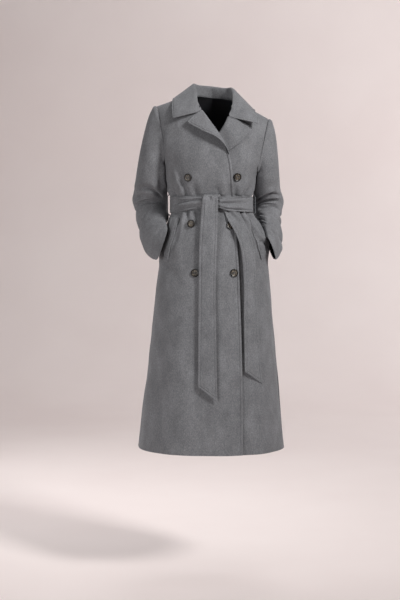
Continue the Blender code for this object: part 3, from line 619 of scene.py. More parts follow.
def stitch_groove(gap: np.ndarray, inset: float, width: float, depth: float) -> np.ndarray:
    """Depth of the valley that a row of edge stitching pulls in, at distances from the edge."""
    return depth * np.exp(-(((gap - inset) / width) ** 2))


def graded(start: Sequence[float], end: Sequence[float], lengths: np.ndarray,
           count: int) -> np.ndarray:
    """Distances along lines: fixed ones near both ends and even ones between.

    Args:
        start: the first distances, in metres.
        end: distances from the far end, nearest first.
        lengths: the lines' lengths.
        count: how many distances lie between those.

    Returns:
        One row of distances for each line.
    """
    first = np.broadcast_to(np.array(start, float), (len(lengths), len(start)))
    last = lengths[:, None] - np.array(end, float)[::-1]
    share = np.linspace(0, 1, count + 2)[1:-1]
    return np.concatenate([first, first[:, -1:] + (last[:, :1] - first[:, -1:]) * share, last], 1)


class Layer(Enum):
    """The two sides of a piece of cloth, as its material slots."""

    FACE = 0
    LINING = 1


def placed(name: str, made: bmesh.types.BMesh,
           mesh: bpy.types.Mesh | None = None) -> bpy.types.Object:
    """Make a linked object with smooth shading.

    Args:
        name: the object's name.
        made: its faces, which are freed.
        mesh: the mesh that takes them, or None for a new one.

    Returns:
        The object.
    """
    mesh = mesh or bpy.data.meshes.new(name)
    made.to_mesh(mesh)
    made.free()
    mesh.shade_smooth()
    piece = bpy.data.objects.new(name, mesh)
    bpy.context.scene.collection.objects.link(piece)
    return piece


def shell_object(name: str, face: np.ndarray, back: np.ndarray, ring: bool = False,
                 lined: np.ndarray | None = None) -> bpy.types.Object:
    """A closed thin mesh between two grids of points.

    Args:
        name: the piece's name.
        face: rows x columns of points of its outer layer.
        back: the same of its inner layer.
        ring: joins the last column to the first.
        lined: True for each point of the inner layer that is lining, not wool.

    Returns:
        The linked object, without its materials.
    """
    rows, columns = face.shape[:2]
    r = np.arange(rows - 1)[:, None]
    c = np.arange(columns if ring else columns - 1)[None, :]
    d = (c + 1) % columns
    a, b, e, f = r * columns + c, r * columns + d, (r + 1) * columns + d, (r + 1) * columns + c
    under = rows * columns
    outer = np.stack([a, b, e, f], -1).reshape(-1, 4)
    inner = outer[:, ::-1] + under
    rims = [(a[0], b[0]), (b[-1] + columns, a[-1] + columns)]
    if not ring:
        rims += [(f[:, 0], a[:, 0]), (b[:, -1], e[:, -1])]
    rims = [np.stack([near, near + under, far + under, far], -1) for near, far in rims]
    polygons = np.concatenate([outer, inner, *rims])
    mesh = bpy.data.meshes.new(name)
    points = np.concatenate([face.reshape(-1, 3), back.reshape(-1, 3)])
    mesh.from_pydata(points.tolist(), [], polygons.tolist())
    slots = np.zeros(len(polygons), np.int32)
    if lined is not None:
        cells = lined.reshape(-1)[outer].min(axis=1)
        slots[len(outer):2 * len(outer)] = np.where(cells, Layer.LINING.value, Layer.FACE.value)
    mesh.materials.append(None)
    mesh.materials.append(None)
    mesh.polygons.foreach_set("material_index", slots)
    made = bmesh.new()
    made.from_mesh(mesh)
    bmesh.ops.remove_doubles(made, verts=made.verts[:], dist=2e-6)
    bmesh.ops.dissolve_degenerate(made, edges=made.edges[:], dist=1e-7)
    bmesh.ops.recalc_face_normals(made, faces=made.faces[:])
    return placed(name, made, mesh)


def merged(name: str, pieces: Sequence[bpy.types.Object]) -> bpy.types.Object:
    """Join several objects' meshes into one new object, keeping their material numbers.

    Args:
        name: the new object's name.
        pieces: the objects, which are removed.

    Returns:
        The joined object.
    """
    made = bmesh.new()
    for piece in pieces:
        mesh = piece.data
        mesh.transform(piece.matrix_world)
        made.from_mesh(mesh)
        bpy.data.objects.remove(piece)
        bpy.data.meshes.remove(mesh)
    return placed(name, made)


def tube_object(name: str, line: np.ndarray, radius: float, sides: int = 8) -> bpy.types.Object:
    """A round tube with closed ends along a line of points.

    Args:
        name: the piece's name.
        line: the points of its middle line.
        radius: its radius.
        sides: how many sides it has.

    Returns:
        The linked object.
    """
    ahead = unit(np.gradient(line, axis=0))
    aside = np.cross(ahead, (0.0, 0.0, 1.0))
    aside = np.where(np.linalg.norm(aside, axis=1, keepdims=True) < 0.05,
                     np.cross(ahead, (0.0, 1.0, 0.0)), aside)
    aside = unit(aside)
    for k in range(1, len(aside)):
        carried = aside[k - 1] - ahead[k] * np.dot(aside[k - 1], ahead[k])
        aside[k] = carried / max(np.linalg.norm(carried), 1e-9)
    other = np.cross(ahead, aside)
    turn = 2 * math.pi * np.arange(sides) / sides
    made = bmesh.new()
    rings = [[made.verts.new(centre + radius * (math.cos(t) * a + math.sin(t) * b)) for t in turn]
             for centre, a, b in zip(line, aside, other)]
    for low, high in zip(rings, rings[1:]):
        for k in range(sides):
            made.faces.new((low[k], low[(k + 1) % sides], high[(k + 1) % sides], high[k]))
    made.faces.new(rings[0][::-1])
    made.faces.new(rings[-1])
    bmesh.ops.recalc_face_normals(made, faces=made.faces[:])
    return placed(name, made)


HEM_STEPS = (0, 0.0003, 0.0008, 0.0015, 0.0024, 0.004, 0.006)
EDGE_STEPS = (0, 0.0003, 0.0008, 0.0014, 0.0021, 0.003, 0.004, 0.005, 0.006, 0.007, 0.008, 0.009,
              0.0102, 0.012, 0.0145, 0.018)
SEAM_STEPS = (0, 0.0006, 0.0014, 0.0024, 0.0038, 0.006)


@dataclass
class Cut:
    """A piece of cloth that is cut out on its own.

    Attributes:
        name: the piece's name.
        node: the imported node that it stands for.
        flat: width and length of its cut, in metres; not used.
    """

    name: str
    node: str
    flat: tuple[float, float]


@dataclass
class Panel(Cut):
    """A panel of the body: a fine grid on the form with its folds, hem and edges.

    Attributes:
        area: area of its cut, in square metres; not used.
        face: front or back.
        folds: the folds on it, at places (x, z).
        columns: how many columns lie between its edges.
    """

    area: float
    face: Face
    folds: tuple[Fold, ...]
    columns: int = 54
    skirt_pitch: float = 0.0072
    waist_pitch: float = 0.0031
    skirt_top: float = -0.50
    yoke_rows: int = 72
    ripple_height: float = 0.0006
    hem_facing: float = 0.032

    def stations(self) -> np.ndarray:
        """Stations of the rows, from the hem up to the shoulder seam.

        Returns:
            The stations.
        """
        skirt = np.arange(HEM + 2 * HEM_STEPS[-1], self.skirt_top, self.skirt_pitch)
        waist = np.arange(self.skirt_top, ARMPIT - 0.001, self.waist_pitch)
        low = np.concatenate([HEM + np.array(HEM_STEPS), skirt, waist]) - ARMPIT
        return np.concatenate([low, np.linspace(0, math.pi / 2, self.yoke_rows)])

    def end_angles(self, stations: np.ndarray) -> tuple[np.ndarray, np.ndarray]:
        """Angles of the first and the last point of each row."""
        raise NotImplementedError

    def row_steps(self, lengths: np.ndarray, stations: np.ndarray) -> np.ndarray:
        """Distances of the points along each row."""
        raise NotImplementedError

    def places(self) -> tuple[np.ndarray, np.ndarray]:
        """Angles and stations of the grid's points, spaced along each row in metres.

        Returns:
            The angles and the stations, each rows x columns.
        """
        stations = self.stations()
        first, last = self.end_angles(stations)
        share = np.linspace(0, 1, 161)
        fine = first[:, None] + (last - first)[:, None] * share
        levels = np.repeat(stations[:, None], len(share), axis=1)
        run = reach_from(FORM.point(fine, levels, self.face), 1, 0)
        steps = self.row_steps(run[:, -1], stations)
        angles = np.array([np.interp(*row) for row in zip(steps, run, fine)])
        return angles, np.repeat(stations[:, None], angles.shape[1], axis=1)

    def lift(self, x: np.ndarray, z: np.ndarray) -> np.ndarray:
        """How far the panel lies off the form at places.

        Args:
            x: places across, in metres.
            z: heights, in metres.

        Returns:
            The distances off the form, in metres.
        """
        quiet = smooth((HEM + 0.9 - z) / 0.9) * 1.6 + 0.7
        return (fold_lift(self.folds, x, z)
                + self.ripple_height * quiet * ripple(x, z * 0.55, 0.075, 3.1 + self.face.value))


@dataclass
class FrontPanel(Panel):
    """A front: its inner edge is the front edge, the roll line and the neckline.

    Attributes:
        side: which of the fronts.
        band: how much thicker the turned and pressed front edge is.
        band_width: how wide that thicker edge is.
        facing: width of the wool inside its edge.
        thinned: how much thinner it is where the lapel comes round it.
        thinned_reach: how far from the roll it is thinner.
        roll_inset: how far inside the roll line it starts, above the break.
        stitches: distance of its stitching from that edge's inner side, its width and its depth.
    """

    side: Side = Side.RIGHT
    band: float = 0.0030
    band_width: float = 0.0075
    facing: float = 0.085
    thinned: float = 0.0012
    thinned_reach: float = 0.01
    roll_inset: float = 0.0042
    stitches: tuple[float, float, float] = (0.0016, 0.0014, 0.0012)

    def fold_over(self, z: np.ndarray) -> np.ndarray:
        """1 where the edge is turned into the lapel, 0 below the break."""
        start = PATTERN.over_break if self.side is Side.RIGHT else PATTERN.under_break
        return smooth((z - start) / 0.012)

    def end_angles(self, stations: np.ndarray) -> tuple[np.ndarray, np.ndarray]:
        """Angles of the first and the last point of each row."""
        x, z = PATTERN.edge_place(PATTERN.inner_edge(self.side), stations)
        return FORM.angle(x, z), PATTERN.outer_angle(self.side, stations)

    def row_steps(self, lengths: np.ndarray, stations: np.ndarray) -> np.ndarray:
        """Distances of the points along each row; above the break they start inside the roll.

        Args:
            lengths: the rows' lengths, in metres.
            stations: the rows' stations.

        Returns:
            The distances, rows x columns.
        """
        _, z = PATTERN.edge_place(PATTERN.inner_edge(self.side), stations)
        steps = graded(EDGE_STEPS, SEAM_STEPS, lengths - SEAM / 2, self.columns)
        inset = self.roll_inset * self.fold_over(z)[:, None]
        return np.minimum(steps + inset * np.exp(-steps / 0.02), lengths[:, None])

    def build(self) -> bpy.types.Object:
        """Make the panel's shell.

        Returns:
            The linked object, without its materials.
        """
        angles, stations = self.places()
        grid = FORM.point(angles, stations, self.face)
        out = FORM.normal(angles, stations, self.face)
        x, z = grid[..., 0], grid[..., 2]
        edge_gap = reach_from(grid, 1, 0)
        turned = self.fold_over(z)
        low = PATTERN.under_lap(self.side, x, z)
        lift = self.lift(x, z) - low
        step = 1 - smooth((edge_gap - self.band_width + 0.001) / 0.0035)
        band = self.band * step * (1 - turned)
        groove = stitch_groove(edge_gap - self.band_width, *self.stitches) * (1 - turned)
        face = grid + out * (lift + band - groove)[..., None]
        under = np.minimum(INNER_SHARE * (lift + low) - low, lift) - CLOTH - band / 2
        under = under + self.thinned * turned * np.exp(-edge_gap / self.thinned_reach)
        back = grid + out * under[..., None]
        hem_gap = reach_from(grid, 0, 0)
        seam_gap = reach_from(grid, 1, -1)
        shoulder_gap = reach_from(grid, 0, -1) + SHOULDER_PRESS
        face = sunk_seam(face, back, np.minimum(seam_gap, shoulder_gap))
        face, back = closed_edge(face, back, np.minimum(edge_gap, hem_gap))
        lined = (edge_gap > self.facing) & (hem_gap > self.hem_facing)
        return shell_object(self.name, FORM.leaned(face), FORM.leaned(back), lined=lined)


@dataclass
class BackPanel(Panel):
    """The back, from the right side seam to the left one, with its middle seam pressed in."""

    neck_half_width: float = 0.0745
    neckline: Table = field(default_factory=lambda: Table("x z", """
        0 .5, 20 .3, 41 -.5, 62 -3, 74.5 -5.5"""))
    columns: int = 120

    def end_angles(self, stations: np.ndarray) -> tuple[np.ndarray, np.ndarray]:
        """Angles of the first and the last point of each row."""
        return (PATTERN.outer_angle(Side.RIGHT, stations), PATTERN.outer_angle(Side.LEFT, stations))

    def row_steps(self, lengths: np.ndarray, stations: np.ndarray) -> np.ndarray:
        """Distances of the points along each row."""
        steps = graded(SEAM_STEPS, SEAM_STEPS, lengths, self.columns)
        return np.clip(steps, SEAM / 2, lengths[:, None] - SEAM / 2)

    def build(self) -> bpy.types.Object:
        """Make the back's shell.

        Returns:
            The linked object, without its materials.
        """
        angles, stations = self.places()
        across = np.abs(FORM.point(angles, stations, self.face)[..., 0])
        across = np.minimum(across, self.neck_half_width)
        dip = FORM.height_station(across, self.neckline.at(across, "z")) / (math.pi / 2)
        stations = np.where(stations > 0, stations * dip, stations)
        grid = FORM.point(angles, stations, self.face)
        out = FORM.normal(angles, stations, self.face)
        x, z = grid[..., 0], grid[..., 2]
        lift = self.lift(x, z)
        face = grid + out * lift[..., None]
        back = grid + out * (np.minimum(lift, INNER_SHARE * lift) - CLOTH)[..., None]
        hem_gap = reach_from(grid, 0, 0)
        seam_gap = np.minimum(reach_from(grid, 1, 0), reach_from(grid, 1, -1))
        seam_gap = np.minimum(seam_gap, reach_from(grid, 0, -1) + SHOULDER_PRESS)
        face = sunk_seam(face, back, seam_gap)
        face = sunk_seam(face, back, np.abs(x), depth=0.22, reach=0.004)
        face, back = closed_edge(face, back, hem_gap)
        lined = hem_gap > self.hem_facing
        return shell_object(self.name, FORM.leaned(face), FORM.leaned(back), lined=lined)


@dataclass
class Sleeve(Cut):
    """A sleeve: a bent tube with a full head, elbow folds and an open cuff.

    Attributes:
        area: area of its cut, in square metres.
        side: which arm.
        rings: its rings from the armpit to the cuff.
        folds: folds at places (turn, ring), where a turn is in radians round the sleeve from its
            area: area of its cut, in square metres; not used.
        hip: the swelling of the coat over the hand, which it clears.
        cap_grading: above 1, the rings of its head lie closer at the armhole.
        clearance: its distance from the body above the belt, and low_clearance below it.
        head: height of the ridge along the armhole, where its head is eased in.
        blunt: how much of its lowest tip is pressed up, by blunt_share.
        hug_gap: its distance from the body where it lies against it, above hug_foot.
        hug_low: height under which it only gives way to the body.
    """

    area: float
    side: Side
    rings: Table
    folds: tuple[Fold, ...]
    hip: Fold
    around: int = 16 * 7
    cap_rings: int = 26
    cap_grading: float = 1.35
    tube_rings: int = 176
    cloth: float = 0.0026
    away_share: float = 0.9
    clearance: float = 0.0016
    low_clearance: float = 0.0054
    clearance_rise: float = 0.04
    clearance_fade: float = 0.03
    turn_scale: float = 0.050
    ring_scale: float = 0.045
    head: float = 0.0022
    blunt: float = 0.0075
    blunt_share: float = 0.8
    hug_gap: float = 0.0014
    hug_foot: float = -0.322
    hug_reach: float = 0.034
    hug_low: float = -0.380
    cuff_rings: tuple[float, ...] = (0.06, 0.036, 0.018, 0.0072, 0.0)
    smoothing: int = 70
    cap_reach: Table = field(default_factory=lambda: Table("height reach", """
        -1 4, 0 13, 1 30""", key=1.0))

    def armhole(self) -> np.ndarray:
        """The armhole's edge round from the armpit up the front and down the back.

        Returns:
            The edge's points.
        """
        stations = np.linspace(0, math.pi / 2, self.around // 2 + 1)
        angle = PATTERN.outer_angle(self.side, stations)
        x, z = PATTERN.edge_place(PATTERN.armhole, stations[:1], self.side.name.lower(),
                                  self.side.value)
        angle[0] = FORM.angle(x, z)[0]
        front, back = (FORM.point(angle, stations, face) for face in Face)
        return np.concatenate([front, back[-2:0:-1]])

    def clear_of_body(self, ring: np.ndarray) -> np.ndarray:
        """Press a ring flatter, towards its outer side, until it clears the body's form.

        Args:
            ring: the ring's points.

        Returns:
            The pressed ring.
        """
        x, z = np.abs(ring[:, 0]), ring[:, 2]
        low = smooth((WAIST + BELT_WIDTH / 2 + self.clearance_rise - z) / self.clearance_fade)
        clearance = self.clearance + (self.low_clearance - self.clearance) * low
        least = np.where(z < ARMPIT, FORM.side_reach(ring, clearance), 0)
        outer = x.max()
        room = np.where(x < least, (outer - least) / np.maximum(outer - x, 1e-6), 1.0)
        pressed = ring.copy()
        pressed[:, 0] = np.sign(ring[:, 0]) * (outer - (outer - x) * room.min())
        return pressed

    def turns(self) -> np.ndarray:
        """Turn of each point of a ring, in radians from the outer side towards the front."""
        return math.pi - 2 * math.pi * np.arange(self.around) / self.around

    def tube(self, ring: float) -> np.ndarray:
        """Points of one smooth ring of the sleeve.

        Args:
            ring: the ring's number, whole or between two.

        Returns:
            The ring's points.
        """
        sign, at = self.side.value, self.rings.at
        centre = np.array([sign * at(ring, "x"), at(ring, "y"), at(ring, "z")])
        outwards = np.array([sign * at(ring, "out"), 0, at(ring, "rise")])
        forwards = np.array([-sign * at(ring, "inwards"), -at(ring, "front"), at(ring, "lean")])
        turn = self.turns()[:, None]
        return centre + np.cos(turn) * outwards + np.sin(turn) * forwards

    def surface(self) -> tuple[np.ndarray, np.ndarray]:
        """The sleeve's smooth rings, and the ring number of each row.

        Returns:
            The rings' points, rows x columns, and the rows' ring numbers.
        """
        armhole = self.armhole()
        radial = armhole - armhole.mean(axis=0)
        radial[:, 0] = 0
        radial = unit(radial)
        start = armhole + np.array([self.side.value * SEAM, 0, 0])
        first = self.tube(1)
        reach = self.cap_reach.at(radial[:, 2], "reach")
        control = start + np.array([self.side.value, 0, 0]) * reach[:, None]
        shares = np.linspace(0, 1, self.cap_rings + 1)[:-1] ** self.cap_grading
        cap = [(1 - b)**2 * start + 2 * b * (1 - b) * control + b**2 * first for b in shares]
        last = self.rings.rows[-1, 0]
        numbers = np.linspace(1, last, self.tube_rings)
        numbers = np.unique(np.concatenate([numbers[:-1], last - np.array(self.cuff_rings)]))
        tube = [self.clear_of_body(self.tube(n)) for n in numbers]
        grid, numbers = np.array(cap + tube), np.concatenate([shares, numbers])
        weight = 0.5 * np.exp(-(((numbers[1:-1] - 1) / 0.45) ** 2))[:, None, None]
        for _ in range(self.smoothing):
            grid[1:-1] += weight * ((grid[:-2] + grid[2:]) / 2 - grid[1:-1])
        blunt = np.clip(grid[..., 2].min() + self.blunt - grid[..., 2], 0, None)
        grid[..., 2] += self.blunt_share * blunt
        return grid, numbers

    def hug(self, face: np.ndarray, turn: np.ndarray) -> np.ndarray:
        """How far the sleeve's inner side moves to lie against the body, but for the waist.

        Args:
            face: points of the sleeve's outer layer.
            turn: their turns round the sleeve.

        Returns:
            The shift of each point.
        """
        z = face[..., 2]
        body = FORM.side_reach(face)
        body = body + self.hip.lift(self.side.value * body, z)
        gap = np.abs(face[..., 0]) - body - self.hug_gap
        inner = smooth((-np.cos(turn) - 0.60) / 0.33)
        over = smooth((z - self.hug_foot) / 0.020) * smooth((ARMPIT + 0.012 - z) / 0.02)
        under = smooth((self.hug_low - z) / 0.020)
        moved = (np.clip(gap, 0, None) * over + np.clip(gap, None, 0) * under) * inner
        moved = moved * smooth((self.hug_reach - gap) / 0.012)
        return np.stack([-self.side.value * moved, 0 * moved, 0 * moved], -1)

    def build(self) -> bpy.types.Object:
        """Make the sleeve's shell with its folds.

        Returns:
            The linked object, without its materials.
        """
        grid, numbers = self.surface()
        turn = np.broadcast_to(self.turns(), grid.shape[:2])
        number = np.broadcast_to(numbers[:, None], grid.shape[:2])
        away = unit(grid - grid.mean(axis=1, keepdims=True))
        along = np.gradient(grid, axis=0)
        across = np.roll(grid, -1, axis=1) - np.roll(grid, 1, axis=1)
        normal = unit(np.cross(across, along))
        normal *= np.sign(np.sum(normal * away))
        lift = np.zeros(grid.shape[:2])
        for shift in (-2 * math.pi, 0, 2 * math.pi):
            u, v = (turn + shift) * self.turn_scale, number * self.ring_scale
            lift += fold_lift(self.folds, u, v)
        lift += 0.0005 * smooth((number - 1) / 0.6) * (
            ripple(turn * self.turn_scale, number * self.ring_scale, 0.05, 1.3)
            * np.cos(turn / 2) ** 2)
        armhole_gap = reach_from(grid, 0, 0)
        head = self.head * np.exp(-(((armhole_gap - 0.010) / 0.008) ** 2)) * smooth(
            (grid[..., 2] + 0.16) / 0.10)
        guard = smooth(armhole_gap / 0.02)
        face = grid + normal * (guard * lift + head)[..., None]
        back = grid + normal * (guard * np.minimum(lift, 0))[..., None]
        back = back - unit(normal + self.away_share * away) * self.cloth
        shift = self.hug(face, turn)
        face, back = face + shift, back + shift
        cuff_gap = reach_from(grid, 0, -1)
        face = sunk_seam(face, back, armhole_gap, depth=0.25, reach=0.003)
        face, back = closed_edge(face, back, cuff_gap)
        lined = cuff_gap > 0.004
        return shell_object(self.name, FORM.leaned(face), FORM.leaned(back), ring=True, lined=lined)


# inset, width and depth of the valleys that rows of edge stitching pull in
LAPEL_STITCHES = (0.0054, 0.0015, 0.0015)
BELT_STITCHES = (0.0055, 0.0014, 0.0014)


def across_steps(lengths: np.ndarray, count: int, start: Sequence[float] = EDGE_STEPS,
                 end: Sequence[float] = EDGE_STEPS) -> np.ndarray:
    """Graded distances over strips of given widths, squeezed where a strip is narrow."""
    full = graded(start, end, np.maximum(lengths, start[-1] + end[-1] + 0.004), count)
    return full * (lengths / full[:, -1])[:, None]


def resampled(line: np.ndarray, run: np.ndarray) -> np.ndarray:
    """Points of a line at distances along it."""
    gone = run_along(line)
    return np.stack([np.interp(run, gone, line[:, k]) for k in range(line.shape[1])], -1)


def eased(line: np.ndarray, rounds: int) -> np.ndarray:
    """A line with its points drawn a number of times towards their neighbours.

    Args:
        line: the line's points, which are changed.
        rounds: how many times.

    Returns:
        The eased line.
    """
    for _ in range(rounds):
        line[1:-1] = line[1:-1] / 2 + (line[:-2] + line[2:]) / 4
    return line


@dataclass
class Lapel(Cut):
    """A lapel: a facing that comes round the roll line and lies turned out over its front.

    Attributes:
        area: area of its cut, in square metres; not used.
        side: which front it belongs to.
        turn: its roll line and its free edge, from the gorge down to the break.
        ease: air under its roll at the gorge.
        hidden: how far it goes on inside its front.
        roll_share: how much of its width the roll may take where it is narrow.
        least_leaf: the narrowest leaf whose columns are not squeezed.
        full_width: the width from which its edge is fully doubled.
        stitched_width: the width from which its edge is stitched.
        turn_in: air inside the roll.
    """

    area: float
    side: Side
    turn: Table
    ease: float
    rows: int = 150
    leaf_columns: int = 40
    bend_columns: int = 13
    hidden: float = 0.010
    roll_radius: float = 0.0040
    roll_share: float = 0.42
    least_leaf: float = 0.0215
    full_width: float = 0.03
    stitched_width: float = 0.010
    edge_cloth: float = 0.0050
    corner: float = 0.0045
    ease_loss: float = 0.35
    turn_in: float = 0.0010
    first_rows: tuple[float, ...] = (0, 0.0015, 0.004, 0.008)

    def leaf_places(self, along: np.ndarray, out: np.ndarray) -> tuple[np.ndarray, ...]:
        """Places x and z of the leaf and its lift off the form.

        Args:
            along: shares of the roll line, from the gorge down.
            out: shares of the way from the roll to the free edge.

        Returns:
            x, z and the lift.
        """
        roll_z = self.turn.at(along, "roll_z")
        roll_x = PATTERN.inner_edge(self.side).at(roll_z, "x")
        x = roll_x + (self.turn.at(along, "edge_x") - roll_x) * out
        z = roll_z + (self.turn.at(along, "edge_z") - roll_z) * out
        low = self.ease * (1 - self.ease_loss * along**2)
        lift = low + (self.turn.at(along, "lift") - low) * np.sin(out * math.pi / 2)
        return x, z, lift - PATTERN.under_lap(self.side, x, z)

    def gorge_line(self, gap: float, count: int = 60) -> np.ndarray:
        """Face points along its upper edge, from the roll outwards, moved up by a gap.

        Args:
            gap: how far it is moved up, in metres.
            count: how many points it has.

        Returns:
            The line's points.
        """
        lines = []
        for along in (0.0, 0.02):
            x, z, lift = self.leaf_places(np.full(count, along), np.linspace(0, 1, count))
            lines.append(FORM.on(x, z, Face.FRONT, lift + CLOTH))
        return lines[0] + unit(lines[0] - lines[1]) * gap

    def build(self) -> bpy.types.Object:
        """Make the lapel's shell.

        Returns:
            The linked object, without its materials.
        """
        along = np.concatenate([self.first_rows, np.linspace(0.014, 1, self.rows)])[:, None]
        fine = np.linspace(0, 1, 81)[None, :]
        x, z, lift = self.leaf_places(along, fine)
        low = PATTERN.under_lap(self.side, x, z)
        run = reach_from(FORM.on(x, z, Face.FRONT, lift + low), 1, 0)
        width = run[:, -1]
        radius = np.minimum(self.roll_radius, self.roll_share * width)
        leaf = np.maximum(width - radius, self.least_leaf)
        steps = graded((0.0,), EDGE_STEPS, leaf, self.leaf_columns)
        steps = steps * ((width - radius) / steps[:, -1])[:, None] + radius[:, None]
        out = np.array([np.interp(s, r, fine[0]) for s, r in zip(steps, run)])
        x, z, lift = self.leaf_places(np.broadcast_to(along, out.shape), out)
        low = PATTERN.under_lap(self.side, x, z)
        edge_gap = np.maximum(width[:, None] - steps, 0)
        row_gap = reach_from(FORM.on(x, z, Face.FRONT, lift + low), 0, 0)
        room = np.clip(width / self.full_width, 0, 1)[:, None]
        thick = CLOTH + (self.edge_cloth - CLOTH) * doubled(edge_gap) * room
        groove = stitch_groove(np.minimum(edge_gap, row_gap), *LAPEL_STITCHES)
        groove = groove * smooth((width[:, None] - self.stitched_width) / 0.01)
        face = FORM.on(x, z, Face.FRONT, lift + CLOTH - groove)
        back = FORM.on(x, z, Face.FRONT, lift + CLOTH - thick)
        # the strip goes on round the roll and a little way inside its front
        turn = np.linspace(0, math.pi, self.bend_columns)[1:-1]
        share = (radius / np.maximum(width, 1e-6))[:, None]
        roll_x, roll_z, roll_lift = self.leaf_places(along, share)
        low = PATTERN.under_lap(self.side, roll_x, roll_z)
        top = FORM.on(roll_x, roll_z, Face.FRONT, roll_lift + CLOTH / 2)
        out_way = unit(face[:, 1] - face[:, 0])[:, None]
        up_way = FORM.out(roll_x, roll_z, Face.FRONT)
        deep = (roll_lift + low)[..., None] + 2 * CLOTH + self.turn_in
        aside = -np.sin(turn)[None, :, None] * out_way
        upwards = np.cos(turn)[None, :, None] * up_way
        bend = top - up_way * deep / 2 + aside * radius[:, None, None] + upwards * deep / 2
        ways = aside + upwards
        slide = np.array([0.0, 0.5, 1.0])[None, :, None] * self.hidden * room[..., None] ** 2
        tail = top - up_way * deep + out_way * slide
        half = CLOTH / 2
        count = tail.shape[1] + bend.shape[1]
        face, gaps = round_corner(face, row_gap, edge_gap, self.corner, 0, -1)
        back, _ = round_corner(back, row_gap, edge_gap, self.corner, 0, -1)
        face = np.concatenate([(tail - up_way * half)[:, ::-1], (bend + ways * half)[:, ::-1],
                               face], axis=1)
        back = np.concatenate([(tail + up_way * half)[:, ::-1], (bend - ways * half)[:, ::-1],
                               back], axis=1)
        row_all = reach_from(face, 0, 0)
        gaps = np.concatenate([row_all[:, :count], np.minimum(gaps, row_all[:, count:])], axis=1)
        for axis, end in ((0, -1), (1, 0)):
            gaps = np.minimum(gaps, reach_from(face, axis, end))
        face, back = closed_edge(face, back, gaps)
        return shell_object(self.name, FORM.leaned(face), FORM.leaned(back))


